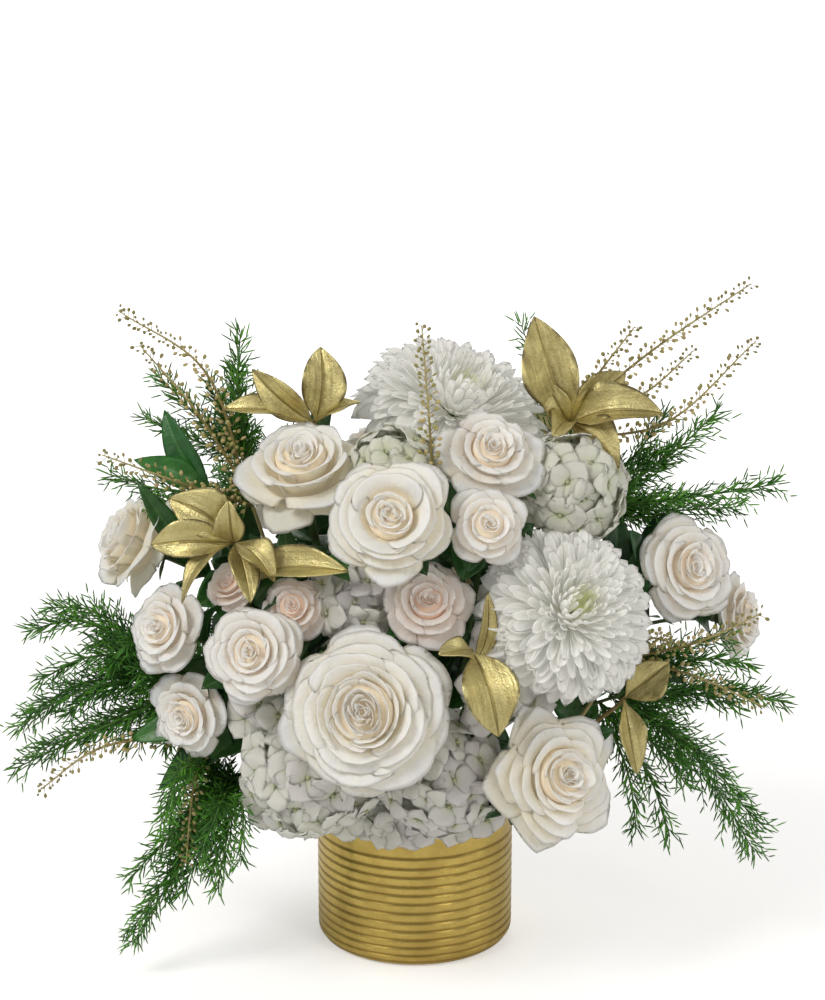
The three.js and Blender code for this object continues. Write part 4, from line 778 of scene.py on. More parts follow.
def add_mum(pile, base, facing, radius, spin, count, rng, thickness):
    """A chrysanthemum. Each petal is turned from the last by the golden angle. It leans from near the axis in
    the heart to behind the bloom outside, where the petals are broadest. Its midline is bowed out in the
    heart and up outside. It is a strap with a round end, more pointed outside, whose rim rises on both sides
    like a gutter."""
    order = (np.arange(count) + 0.5) / count
    polar = np.radians(lerp(3, 106, order**0.66)) + rng.uniform(-0.07, 0.07, count)
    reach = np.interp(polar, np.radians([0, 25, 50, 75, 106]), [0.60, 0.72, 0.88, 1.05, 1.12])
    reach = reach * (1 + rng.uniform(-0.07, 0.06, count))
    course = np.arange(count) * GOLDEN_ANGLE + spin + rng.uniform(-0.12, 0.12, count)
    bow = np.interp(order, [0, 0.3, 0.8, 1], [0.42, 0.05, -0.30, -0.34]) + rng.uniform(-0.08, 0.08, count)
    v, u = patch_grid(*MUM_GRID)
    near, far = 0.14, reach[:, None, None]
    root, lean = polar[:, None, None] * 0.9, polar[:, None, None]
    knee = lean + bow[:, None, None]
    legs = [
        (near, root), (near + (far - near) * 0.45, knee), (far * 0.84, knee * 0.4 + lean * 0.6), (far, lean),
    ]
    out = cubic(*(r * np.sin(a) for r, a in legs), v)
    up = cubic(*(r * np.cos(a) for r, a in legs), v)
    slope_out, slope_up = np.gradient(out, axis=1), np.gradient(up, axis=1)
    size = np.hypot(slope_out, slope_up)
    in_out, in_up = -slope_up / size, slope_out / size
    broad = np.interp(order, [0, 0.2, 0.6, 0.85, 1], [0.040, 0.056, 0.092, 0.165, 0.205])
    broad = (broad * rng.uniform(0.85, 1.12, count))[:, None, None]
    outside = ease(0.45, 0.9, order)[:, None, None]
    taper = lerp(0.70, 0.50, outside)
    way = np.clip((v - taper) / (1 - taper), 0, 1)
    end = np.clip(1 - way**2.2, 0.003, 1) ** lerp(0.5, 0.8, outside)
    half = broad * (0.35 + 0.65 * ease(0.0, 0.6, v)) * end
    cup = half * (0.45 + 0.30 * rng.uniform(-1, 1, count)[:, None, None]) * u * u
    ridge = 0.06 * half * np.cos(3 * np.pi * u) * ease(0.1, 0.5, v)
    notch = 0.03 * ease(0.85, 1, v) * (0.4 - np.abs(np.abs(u) - 0.5)) * far
    out = out + in_out * (cup + ridge) + slope_out / size * notch
    up = up + in_up * (cup + ridge) + slope_up / size * notch
    twist = 0.35 * rng.uniform(-1, 1, count)[:, None, None] * v * u * half
    out, up = out + in_out * twist, up + in_up * twist
    angle = course[:, None, None] + 0.10 * rng.uniform(-1, 1, count)[:, None, None] * v**2
    x = out * np.cos(angle) - np.sin(angle) * u * half
    y = out * np.sin(angle) + np.cos(angle) * u * half
    middle = stacked(x, y, up) * radius
    luck = rng.uniform(0, 1, (count, 1, 1))
    shade = stacked(v + 0 * u, order[:, None, None], luck)
    grain = stacked(u * half * radius, v * far * radius, luck * 3)
    add_blades(pile, placed(middle, base, facing), thickness / 2, shade, grain)


def add_florets(pile, centres, outward, size, rng, green, thickness):
    """Four-petalled florets. Each petal spreads from the floret's centre. Half its width is a power of the
    sine of the way along, its rim droops, and its two sides rise a little from its middle."""
    count = len(centres)
    petals = 4 * count
    tilt = unit(outward + 0.32 * rng.uniform(-1, 1, (count, 3)))
    helper = unit(np.cross(tilt, unit(rng.uniform(-1, 1, (count, 3)))))
    quarter = np.tile(np.arange(4) * np.pi / 2, count) + np.repeat(rng.uniform(-0.15, 0.15, count), 4)
    quarter = quarter + rng.uniform(-0.12, 0.12, petals)
    normal = np.repeat(tilt, 4, axis=0)
    along = turned(np.repeat(helper, 4, axis=0), normal, quarter)
    side = np.cross(normal, along)
    reach = np.repeat(size * rng.uniform(0.85, 1.12, count), 4)[:, None, None]
    reach = reach * (1 + 0.08 * rng.uniform(-1, 1, petals))[:, None, None]
    v, u = patch_grid(*FLORET_GRID)
    chance = rng.uniform(-1, 1, (petals, 4))[:, :, None, None]
    half = 0.62 * np.sin(np.pi * (0.04 + 0.90 * v) ** 0.92) ** 0.62
    crown = 1 - 0.10 * u * u + 0.05 * (1 - np.abs(u)) ** 2
    dish = 0.16 + 0.3 * np.repeat(rng.uniform(-0.8, 1, count), 4)[:, None, None]
    droop = 0.30 * ease(0.6, 1, v) * (0.5 + 0.5 * chance[:, 0])
    lift = 0.10 * np.sin(np.pi * v) + dish * v**1.6 * 0.5 - droop
    lift = lift + 0.14 * u * u * v * chance[:, 1] + 0.05 * np.sin(4 * u + 6 * chance[:, 2]) * v**2
    stagger = 0.035 * np.tile([1, -1, 1, -1], count)[:, None, None] * (1 - v)
    parts = ((along, v * crown), (side, u * half), (normal, lift + stagger))
    middle = np.repeat(centres, 4, axis=0)[:, None, None]
    for vectors, amount in parts:
        middle = middle + vectors[:, None, None] * (amount * reach)[..., None]
    luck = np.repeat(rng.uniform(0, 1, count), 4)[:, None, None]
    shade = stacked(v + 0 * u, np.full((petals, 1, 1), green), luck)
    grain = stacked(u * half * reach, v * reach, luck * 3 + chance[:, 3])
    add_blades(pile, middle, thickness / 2, shade, grain)
    tone = stacked(0.0, green, luck[::4, 0, 0])
    add_spindles(pile, centres - tilt * size * 0.02, tilt, size * 0.2, size * 0.1, FLORET_BEAD, 6, tone, 2)


# ------------------------------------------------------------------ shader nodes


class Nodes:
    """Adds shader nodes to one tree. Its methods take sockets, numbers or colours, and most of them return a
    socket."""

    def __init__(self, tree):
        self.tree = tree

    def feed(self, socket, value):
        """Links a socket or sets its value."""
        if isinstance(value, bpy.types.NodeSocket):
            self.tree.links.new(value, socket)
        elif socket.type == "RGBA" and len(value) == 3:
            socket.default_value = (*value, 1.0)
        else:
            socket.default_value = value

    def add(self, kind, settings=None, **inputs):
        """A node with its settings, and its inputs by name or, as in _0, by number."""
        node = self.tree.nodes.new(kind)
        for name, value in (settings or {}).items():
            setattr(node, name, value)
        for name, value in inputs.items():
            self.feed(node.inputs[int(name[1:]) if name[0] == "_" else name.replace("_", " ")], value)
        return node

    def place(self):
        """The point of the piece, in metres."""
        return self.add("ShaderNodeTexCoord").outputs["Object"]

    def split(self, vector):
        """The three numbers of a vector."""
        split = self.add("ShaderNodeSeparateXYZ", Vector=vector)
        return [split.outputs[axis] for axis in "XYZ"]

    def read(self, label):
        """The three numbers of a point attribute."""
        return self.split(self.add("ShaderNodeAttribute", {"attribute_name": label}).outputs["Vector"])

    def maths(self, operation, a, b, clamp=False):
        return self.add("ShaderNodeMath", {"operation": operation, "use_clamp": clamp}, _0=a, _1=b).outputs[0]

    def times(self, a, b, clamp=False):
        return self.maths("MULTIPLY", a, b, clamp)

    def plus(self, a, b):
        return self.maths("ADD", a, b)

    def ramp(self, value, low, high, start=0.0, end=1.0):
        """value from low to high becomes start to end, smoothly, and stays there outside."""
        settings = {"interpolation_type": "SMOOTHSTEP"}
        inputs = {"_0": value, "_1": low, "_2": high, "_3": start, "_4": end}
        return self.add("ShaderNodeMapRange", settings, **inputs).outputs[0]

    def mix(self, share, first, second):
        """The first colour with a share of the second."""
        settings = {"data_type": "RGBA", "blend_type": "MIX"}
        return self.add("ShaderNodeMix", settings, _0=share, _6=first, _7=second).outputs[2]

    def group(self, name, **inputs):
        """A shader group, which is built on first use."""
        tree = bpy.data.node_groups.get(name) or GROUPS[name]()
        return self.add("ShaderNodeGroup", {"node_tree": tree}, **inputs).outputs[0]

    def mottle(self, scale, low, high):
        return self.group("mottle", Scale=scale, Low=low, High=high)

    def veins(self, across, along):
        return self.group("veins", Across=across, Along=along)


def new_group(name, inputs, output):
    """An empty shader group with float inputs and one float output, and the Nodes that fill it."""
    group = bpy.data.node_groups.new(name, "ShaderNodeTree")
    for label, value in inputs.items():
        socket = group.interface.new_socket(label, in_out="INPUT", socket_type="NodeSocketFloat")
        socket.default_value = value
    group.interface.new_socket(output, in_out="OUTPUT", socket_type="NodeSocketFloat")
    given, result = group.nodes.new("NodeGroupInput"), group.nodes.new("NodeGroupOutput")
    return group, Nodes(group), given.outputs, result.inputs[0]


def mottle_group():
    """Soft cloudy patches on Object coordinates, from Low to High."""
    group, nodes, given, result = new_group("mottle", {"Scale": 60.0, "Low": 0.0, "High": 1.0}, "Value")
    grain = {"Scale": given["Scale"], "Detail": 3.0, "Roughness": 0.6}
    noise = nodes.add("ShaderNodeTexNoise", Vector=nodes.place(), **grain)
    spread = {"_0": noise.outputs[0], "_1": 0.38, "_2": 0.62, "_3": given["Low"], "_4": given["High"]}
    nodes.feed(result, nodes.add("ShaderNodeMapRange", **spread).outputs[0])
    return group


def vein_group():
    """Fine lines that run from root to tip and fan out a little: noise on the grain attribute, drawn out
    along the patch. Across and Along are lines per metre."""
    group, nodes, given, result = new_group("veins", {"Across": 900.0, "Along": 40.0}, "Height")
    across, along, chance = nodes.read("grain")
    x = nodes.times(across, given["Across"])
    y = nodes.times(along, given["Along"])
    place = nodes.add("ShaderNodeCombineXYZ", X=x, Y=y, Z=nodes.times(chance, 7.0)).outputs[0]
    noise = nodes.add("ShaderNodeTexNoise", Vector=place, Scale=1.0, Detail=2.0, Roughness=0.5)
    nodes.feed(result, noise.outputs[0])
    return group


GROUPS = {"mottle": mottle_group, "veins": vein_group}


class Finish(Nodes):
    """A new material that is made round its Principled shader."""

    def __init__(self, name):
        self.material = bpy.data.materials.new(name)
        self.material.use_nodes = True
        super().__init__(self.material.node_tree)
        self.shader = self.tree.nodes["Principled BSDF"]

    def wire(self, colour, rough=None, height=None, bump=0.0, **constants):
        """Feeds the shader and gives the material. colour, rough and height are sockets, bump is the height's
        range in metres, and the rest are plain values."""
        self.feed(self.shader.inputs["Base Color"], colour)
        if rough is not None:
            self.feed(self.shader.inputs["Roughness"], rough)
        if height is not None:
            relief = self.add("ShaderNodeBump", Strength=1.0, Distance=bump, Height=height)
            self.feed(self.shader.inputs["Normal"], relief.outputs[0])
        for name, value in constants.items():
            self.shader.inputs[name.replace("_", " ")].default_value = value
        return self.material

    def wire_petal(self, colour, rough, height, bump, weight, radius, scale, glow):
        """Feeds the shader for a thin petal, which lets light through: weight, radius and scale spread the
        light under its surface, and glow sets a faint painted glow in its own colour that lifts its shade."""
        self.feed(self.shader.inputs["Emission Color"], colour)
        through = {"Subsurface_Weight": weight, "Subsurface_Radius": radius, "Subsurface_Scale": scale}
        # Emission at glow strength is painted light: a faint glow that lifts the petal's shade.
        surface = {"Emission_Strength": glow, "Sheen_Weight": 0.1, "Specular_IOR_Level": 0.3}
        return self.wire(colour, rough, height, bump, **through, **surface)


def dimmed(colour, *shares):
    """A colour with each of its channels cut to a share."""
    return tuple(channel * share for channel, share in zip(colour, shares))


# ------------------------------------------------------------------ finishes


def petal_material(name, white, deep, heart):
    """Rose petals: pale rims, warmer down the petal and in the heart, partly their own tint and partly
    painted shade; ochre painted shade in the crevices; veins, soft folds.
    """
    made = Finish(name)
    depth, stage, chance = made.read("shade")
    # Deeper under the rims the petal turns to the cream or peach tint: partly the petal's own warmer colour,
    # partly painted shade.
    tint = made.mix(made.ramp(stage, 0.52, 0.14), deep, heart)
    base = made.mix(made.ramp(depth, 0.04, 0.48), white, tint)
    # Painted shade: the crevices deep between the petals are darkened towards ochre.
    crevice_painted_shade = made.times(made.ramp(depth, 0.40, 1.0), made.ramp(stage, 0.80, 0.45, 0.0, 0.34))
    base = made.mix(crevice_painted_shade, base, (0.82, 0.62, 0.30))
    base = made.mix(made.mottle(70.0, 0.0, 0.15), base, dimmed(deep, 0.88, 0.90, 0.86))
    base = made.mix(made.ramp(chance, 0.0, 1.0, 0.0, 0.16), base, (0.82, 0.79, 0.76))
    veins = made.veins(700.0, 45.0)
    folds = made.veins(130.0, 60.0)
    height = made.plus(veins, made.times(folds, 3.0))
    rough = made.mottle(200.0, 0.5, 0.66)
    # The last value is the strength of the painted glow that lifts the shade.
    return made.wire_petal(base, rough, height, 0.0004, 0.5, (1.0, 0.75, 0.5), 0.004, 0.055)


def mum_material(name):
    """Chrysanthemum petals: cool white, cream and then green towards the eye, with lengthwise grooves."""
    made = Finish(name)
    along, stage, chance = made.read("shade")
    eye = made.times(made.ramp(stage, 0.055, 0.0), made.ramp(along, 1.1, 0.3, 0.3, 0.9))
    root = made.ramp(along, 0.55, 0.15)
    base = made.mix(made.times(root, 0.5), (0.92, 0.915, 0.865), (0.82, 0.81, 0.64))
    base = made.mix(eye, base, (0.78, 0.82, 0.32))
    veins = made.veins(900.0, 25.0)
    rough = made.ramp(chance, 0.0, 1.0, 0.48, 0.62)
    # The last value is the strength of the painted glow that lifts the shade.
    return made.wire_petal(base, rough, veins, 0.0003, 0.6, (1.0, 0.95, 0.9), 0.004, 0.07)


def hydrangea_material(name):
    """Hydrangea petals: milky white with a lavender-grey cast, greener low in the head and at their roots."""
    made = Finish(name)
    along, green, chance = made.read("shade")
    base = made.mix(chance, (0.66, 0.62, 0.65), (0.75, 0.74, 0.69))
    hint = made.times(green, made.ramp(along, 1.1, 0.0, 0.5, 1.0))
    base = made.mix(hint, base, (0.74, 0.80, 0.50))
    root = made.ramp(along, 0.35, 0.0)
    base = made.mix(made.times(root, 0.6), base, (0.55, 0.60, 0.32))
    veins = made.veins(420.0, 160.0)
    rough = made.mottle(160.0, 0.5, 0.68)
    # The last value is the strength of the painted glow that lifts the shade.
    return made.wire_petal(base, rough, veins, 0.0005, 0.5, (0.9, 0.9, 0.9), 0.003, 0.02)


def gilded_material(name, gold, worn):
    """Leaves sprayed with gold paint: metal flakes, dark clouds and brush streaks that are partly painted
    shade, a darker midrib, worn rims where the leaf shows, veins.
    """
    made = Finish(name)
    _, side, chance = made.read("shade")
    cloud = made.mottle(70.0, 0.0, 1.0)
    fleck = made.mottle(900.0, -0.2, 0.5)
    streak = made.veins(420.0, 26.0)
    # Dark clouds and lengthwise streaks: partly brush marks in the paint, partly painted shade.
    dark = dimmed(gold, 0.36, 0.31, 0.22)
    streaks_and_painted_shade = made.plus(made.times(cloud, 0.5), made.ramp(streak, 0.42, 0.62, 0.0, 0.32))
    streaks_and_painted_shade = made.times(streaks_and_painted_shade, made.ramp(chance, 0.0, 1.0, 0.45, 1.0), True)
    base = made.mix(streaks_and_painted_shade, gold, dark)
    base = made.mix(made.times(fleck, 0.5, True), base, (0.92, 0.86, 0.54))
    rib = made.ramp(side, 0.10, 0.0)
    base = made.mix(made.times(rib, 0.55), base, dark)
    wear = made.times(made.ramp(side, 0.80, 1.0), made.ramp(cloud, 0.30, 0.8))
    base = made.mix(wear, base, worn)
    veins = made.veins(260.0, 190.0)
    height = made.plus(made.plus(veins, streak), made.times(fleck, 0.35))
    height = made.maths("SUBTRACT", height, made.times(rib, 1.2))
    rough = made.plus(made.times(cloud, 0.16), made.ramp(chance, 0.0, 1.0, 0.28, 0.40))
    material = made.wire(base, rough, height, 0.0006)
    made.feed(made.shader.inputs["Metallic"], made.maths("SUBTRACT", 0.84, made.times(wear, 0.5)))
    return material


def leaf_material(name, dark, light, vein):
    """Green leaves: dark and waxy, lighter along the midrib and its side veins."""
    made = Finish(name)
    _, side, chance = made.read("shade")
    base = made.mix(made.ramp(chance, 0.0, 1.0), dark, light)
    rib = made.ramp(side, 0.14, 0.02)
    base = made.mix(made.times(rib, 0.6), base, vein)
    base = made.mix(made.mottle(120.0, 0.0, 0.35), base, dimmed(dark, 0.5, 0.5, 0.5))
    veins = made.veins(300.0, 240.0)
    rough = made.mottle(150.0, 0.34, 0.5)
    return made.wire(base, rough, veins, 0.0006, Specular_IOR_Level=0.5)


def needle_material(name):
    """Fern needles: deep green at the root and fresh green at the tip, varied from shoot to shoot, with soft
    dark patches of painted shade.
    """
    made = Finish(name)
    along, stage, chance = made.read("shade")
    base = made.mix(made.ramp(chance, 0.1, 1.0), (0.022, 0.140, 0.014), (0.15, 0.50, 0.028))
    base = made.mix(made.times(along, 0.3), base, (0.18, 0.46, 0.05))
    base = made.mix(stage, base, (0.10, 0.19, 0.04))
    # Painted shade: soft patches darkened to near-black green.
    base = made.mix(made.mottle(30.0, 0.0, 0.42), base, (0.010, 0.07, 0.018))
    rough = made.mottle(300.0, 0.42, 0.6)
    return made.wire(base, rough, made.mottle(2500.0, 0.0, 1.0), 0.0001)


def pod_material(name):
    """Seed pods: straw gold with darker rims and stalks, some greener and some russet."""
    made = Finish(name)
    along, stage, chance = made.read("shade")
    base = made.mix(made.ramp(chance, 0.2, 0.9), (0.66, 0.53, 0.25), (0.42, 0.40, 0.13))
    base = made.mix(made.ramp(stage, 0.45, 1.0, 0.0, 0.8), base, (0.25, 0.22, 0.06))
    base = made.mix(made.ramp(along, 0.66, 0.50), base, (0.34, 0.27, 0.09))
    rough = made.mottle(500.0, 0.45, 0.7)
    return made.wire(base, rough, made.mottle(1600.0, 0.0, 1.0), 0.0002)


def stem_material(name, green, brown):
    """Stems: green skin with brown flecks and fine grains."""
    made = Finish(name)
    base = made.mix(made.mottle(140.0, 0.0, 0.8), green, brown)
    rough = made.mottle(90.0, 0.45, 0.65)
    return made.wire(base, rough, made.mottle(1200.0, 0.0, 1.0), 0.00025)


def foam_material(name):
    """Floral foam: dark green, matt, with fine open pores painted darker as their shade, and damp patches."""
    made = Finish(name)
    pores = made.add("ShaderNodeTexVoronoi", Vector=made.place(), Scale=900.0).outputs["Distance"]
    damp = made.mottle(35.0, 0.0, 1.0)
    base = made.mix(damp, (0.035, 0.10, 0.045), (0.018, 0.055, 0.026))
    # Painted shade: the pores are darkened.
    base = made.mix(made.ramp(pores, 0.25, 0.0), base, (0.008, 0.025, 0.012))
    return made.wire(base, made.ramp(damp, 0.0, 1.0, 0.95, 0.72), pores, 0.0012)


def vase_material(name, gold):
    """Gold metal glaze: fine turned lines round the wall, softer clouds, darker in the grooves as painted
    shade, and duller there.
    """
    made = Finish(name)
    _, groove, _ = made.read("shade")
    x, y, z = made.split(made.place())
    flat = [made.times(x, 9.0), made.times(y, 9.0)]
    turn = made.add("ShaderNodeCombineXYZ", X=flat[0], Y=flat[1], Z=made.times(z, 1500.0)).outputs[0]
    lines = made.add("ShaderNodeTexNoise", Vector=turn, Scale=1.0, Detail=3.0).outputs[0]
    cloud = made.mottle(45.0, 0.0, 1.0)
    base = made.mix(made.times(lines, 0.35), gold, (0.86, 0.74, 0.33))
    base = made.mix(made.times(cloud, 0.35), base, (0.42, 0.27, 0.07))
    # Painted shade: the grooves are darkened towards dark brown.
    base = made.mix(made.times(groove, 0.6), base, (0.17, 0.095, 0.02))
    rough = made.plus(made.times(cloud, 0.10), made.times(lines, 0.22))
    rough = made.plus(rough, made.times(groove, 0.2))
    rough = made.plus(rough, 0.12)
    return made.wire(base, rough, lines, 0.00012, Metallic=1.0, Anisotropic=0.8, Anisotropic_Rotation=0.25)


def floor_material(name, colour):
    """A pale floor with the faintest clouds, that glows further out so that it stays white to the horizon."""
    made = Finish(name)
    base = made.mix(made.mottle(2.0, 0.0, 0.02), colour, dimmed(colour, 0.95, 0.95, 0.95))
    material = made.wire(base, Roughness=0.75, Specular_IOR_Level=0.2, Emission_Strength=1.0)
    away = made.add("ShaderNodeVectorMath", {"operation": "LENGTH"}, _0=made.place()).outputs["Value"]
    glow = made.ramp(away, 0.25, 3.0, 0.42, 1.0)
    seen = made.add("ShaderNodeLightPath").outputs["Is Camera Ray"]
    glow = made.times(glow, seen)
    grey = made.add("ShaderNodeCombineColor", _0=glow, _1=glow, _2=glow).outputs[0]
    made.feed(made.shader.inputs["Emission Color"], grey)
    return material


# ------------------------------------------------------------------ settings


def length_property(label, text, value, low, high):
    return bpy.props.FloatProperty(
        name=label, description=text, default=value, min=low, max=high, subtype="DISTANCE", unit="LENGTH"
    )


def colour_property(label, text, value):
    return bpy.props.FloatVectorProperty(
        name=label, description=text, default=value, size=3, min=0, max=1, subtype="COLOR"
    )


def count_property(label, text, value, low, high):
    return bpy.props.IntProperty(name=label, description=text, default=value, min=low, max=high)


class BloomSettings(bpy.types.PropertyGroup):
    petal_thickness: length_property("Petal Thickness", "Thickness of a petal", 0.0003, 0.0002, 0.001)
    mum_petals: count_property("Chrysanthemum Petals", "Petals on one chrysanthemum", 350, 80, 500)
    floret_size: length_property(
        "Floret Size", "From a floret's centre to a petal's tip", 0.0155, 0.006, 0.02
    )
    white: colour_property("White", "Colour of the rims of white petals", (0.94, 0.92, 0.865))
    # Cream and Peach are mixed in deeper under the rims: partly the petals' own warmth, partly painted shade.
    cream: colour_property("Cream", "Tint of white petals towards the root", (0.90, 0.825, 0.64))
    peach: colour_property("Peach", "Tint in the heart of a white rose", (0.92, 0.78, 0.60))
    blush: colour_property("Blush", "Colour of the rims of blush petals", (0.92, 0.83, 0.75))


class FoliageSettings(bpy.types.PropertyGroup):
    shoot_spacing: length_property(
        "Shoot Spacing", "Distance between the side shoots of a fern", 0.0042, 0.002, 0.01
    )
    needle_length: length_property("Needle Length", "Length of a fern needle", 0.0125, 0.004, 0.015)
    needle_spacing: length_property(
        "Needle Spacing", "Distance between needles on a shoot", 0.0031, 0.001, 0.006
    )
    pod_spacing: length_property(
        "Pod Spacing", "Distance between seed pods on a branch", 0.0013, 0.001, 0.005
    )
    pod_radius: length_property("Pod Radius", "Radius of a seed pod", 0.0018, 0.0008, 0.003)
    gold: colour_property("Gilding", "Colour of the painted leaves", (0.72, 0.63, 0.28))


class VaseSettings(bpy.types.PropertyGroup):
    radius: length_property("Radius", "Outer radius of the wall", VASE_RADIUS, 0.04, 0.1)
    height: length_property("Height", "Height of the rim", VASE_HEIGHT, 0.08, 0.2)
    wall: length_property("Wall", "Thickness of the wall", 0.005, 0.002, 0.01)
    groove: length_property("Groove Depth", "Depth of the rings in the wall", 0.0006, 0.0003, 0.003)
    gold: colour_property("Gold", "Colour of the metal glaze", (0.70, 0.50, 0.115))


class CenterpieceSettings(bpy.types.PropertyGroup):
    blooms: bpy.props.PointerProperty(type=BloomSettings)
    foliage: bpy.props.PointerProperty(type=FoliageSettings)
    vase: bpy.props.PointerProperty(type=VaseSettings)
    floor: colour_property("Floor", "Colour of the floor", (0.90, 0.90, 0.90))


# Colours that the panel doesn't hold, in the order in which the material's maker takes them.
PAINT = {
    "green_stem": ((0.10, 0.20, 0.05), (0.07, 0.09, 0.03)),
    # The deep and heart tints of the spray roses are partly their own warmth and partly painted shade.
    "cream_petal": ((0.89, 0.80, 0.67), (0.91, 0.76, 0.60)),
    "blush_petal": ((0.92, 0.76, 0.64), (0.89, 0.62, 0.50)),
    "hydrangea_eye": ((0.45, 0.50, 0.24), (0.60, 0.60, 0.42)),
    "rose_leaf": ((0.012, 0.065, 0.014), (0.045, 0.17, 0.03), (0.12, 0.24, 0.07)),
    "green_leaf": ((0.01, 0.075, 0.02), (0.04, 0.20, 0.03), (0.10, 0.26, 0.07)),
    "leaf_gilding": ((0.16, 0.12, 0.04),),
    "gilded_twig": ((0.36, 0.26, 0.09), (0.20, 0.13, 0.05)),
}


def once(name, maker, *values):
    """The material of that name, made on first use from the given values and its paint."""
    return bpy.data.materials.get(name) or maker(name, *values, *PAINT.get(name, ()))


def stem_skin():
    return once("green_stem", stem_material)


def new_piece(kind, number):
    """The seeded random draws of a piece, and its empty pile."""
    return np.random.default_rng(SEEDS[kind] + number), Pile()


def finished(piece, node):
    """Puts a piece on the frame in place of its node."""
    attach(piece, "root")
    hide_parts(node)


def out_of_foam(foot):
    """A stem's lowest point in the foam, the point over its foot where it starts to bend, and its way."""
    entry = np.array(foot)
    outward = unit(entry - STEM_FOCUS)
    return entry - outward * STEM_PLUNGE, entry + outward * STEM_LEAD, outward


def stem_line(foot, head, arriving):
    """A bloom's stem: straight in the foam, one curve to below the bloom, and straight into its back."""
    root, start, outward = out_of_foam(foot)
    seat = head - arriving * CALYX
    return np.vstack([root, bend(start, outward, seat, arriving, STEM_PULL, np.linspace(0, 1, 16)), head])


def twig_line(corners):
    """A twig: straight in the foam, then a smooth line through its corners."""
    root, start, _ = out_of_foam(corners[0])
    return np.vstack([root, through([start, *corners[1:]])])


def bloom_seat(base, facing, radius):
    """The point of a bloom's back, and its axis."""
    axis = heading(facing)
    return np.array(base) - axis * BACK_REACH * radius, axis


# The forms of leaves: a blade's grid; shares that arch, fold, cup, wave and twist it; egg, which shifts its
# broadest place; where it begins on its stalk; the half width of its midrib; and its thickness.
CALYX_LEAF = {
    "grid": (8, 5), "arch": -0.12, "fold": 0.1, "cup": 0.2, "wave": 0.1, "twist": 0.3, "egg": 0.7,
    "stalk": 0.0, "rib": 0.0004, "thickness": 0.0005,
}
ROSE_LEAF = {
    "grid": (14, 9), "arch": 0.10, "fold": 0.12, "cup": 0.14, "wave": 0.16, "twist": 0.5, "egg": 0.9,
    "stalk": 0.08, "rib": 0.0006, "thickness": 0.0006,
}
GILT_LEAF = {
    "grid": (24, 13), "arch": 0.15, "fold": 0.26, "cup": 0.28, "wave": 0.20, "twist": 0.8, "egg": 1.0,
    "stalk": 0.06, "rib": 0.0011, "thickness": 0.0009,
}


def add_calyx(pile, seat, axis, radius, rng, slot):
    """Five pointed sepals that spread under a bloom."""
    angle = np.arange(5) * 2 * np.pi / 5 + rng.uniform(0, 1)
    helper = unit(np.cross(axis, [0.3, 0.5, 0.8]))
    out = turned(np.tile(helper, (5, 1)), np.tile(axis, (5, 1)), angle)
    starts = seat + out * 0.001 - axis * 0.001
    tips = seat + out * radius * 0.52 + axis * radius * lerp(-0.12, 0.10, rng.uniform(0, 1, 5))[:, None]
    add_leaves(pile, starts, tips, np.full(5, radius * 0.17), np.tile(-axis, (5, 1)), rng, CALYX_LEAF, slot)
    tone = [[0.5, 0.5, 0.5]]
    add_spindles(pile, (seat - axis * 0.004)[None], axis[None], 0.008, radius * 0.13, HIP, 10, tone, slot)


def add_stem_leaves(pile, line, low, high, count, rng, slot):
    """Pointed leaves between two shares of a stem's length, that stand out all round it."""
    starts, slopes, _ = walk(line, np.linspace(low, high, count))
    out = unit(np.cross(slopes, unit(rng.uniform(-1, 1, starts.shape))))
    ways = unit(out + slopes * rng.uniform(0.1, 0.5, (count, 1)))
    tips = starts + ways * rng.uniform(0.030, 0.044, (count, 1))
    widths = rng.uniform(0.019, 0.026, count)
    add_leaves(pile, starts, tips, widths, slopes + [0, 0, 0.3], rng, ROSE_LEAF, slot)


def add_open_leaves(pile, name, line, rng):
    """A stem's leaves that show between the blooms, from the stem to their given tips."""
    for tip, width, share in OPEN_LEAVES.get(name, ()):
        start, _, _ = walk(line, [share])
        add_leaves(pile, start, [tip], [width], [(0, math.copysign(0.8, tip[1]), 0.6)], rng, ROSE_LEAF, 1)


# ------------------------------------------------------------------ operators


class CENTERPIECE_OT_roses(bpy.types.Operator):
    """Builds the large roses, petal by petal"""

    bl_idname = "centerpiece.roses"
    bl_label = "Roses"

    def execute(self, context):
        blooms = context.scene.centerpiece.blooms
        white = once("white_petal", petal_material, blooms.white, blooms.cream, blooms.peach)
        for number, (name, (base, facing, radius, turn, form, _)) in enumerate(ROSES.items()):
            rng, pile = new_piece("roses", number)
            add_rose(pile, base, facing, radius, turn, form, rng, ROSE_GRID, blooms.petal_thickness)
            finished(pile.make(name + "_petals", white), name)
        return {"FINISHED"}


class CENTERPIECE_OT_spray_roses(bpy.types.Operator):
    """Builds the small white and blush roses of the sprays"""

    bl_idname = "centerpiece.spray_roses"
    bl_label = "Spray Roses"

    def execute(self, context):
        blooms = context.scene.centerpiece.blooms
        white = once("cream_petal", petal_material, blooms.white)
        blush = once("blush_petal", petal_material, blooms.blush)
        for spray, (_, _, carried) in enumerate(SPRAYS.values()):
            for number, (name, (base, facing, radius, turn, form)) in enumerate(carried.items()):
                rng, pile = new_piece("spray_roses", 10 * spray + number)
                add_rose(pile, base, facing, radius, turn, form, rng, SPRAY_ROSE_GRID, blooms.petal_thickness)
                petal, slot = (blush, "petal_blush") if name in BLUSH_BLOOMS else (white, "petal_white")
                finished(pile.make(name + "_petals", petal), name)
        return {"FINISHED"}


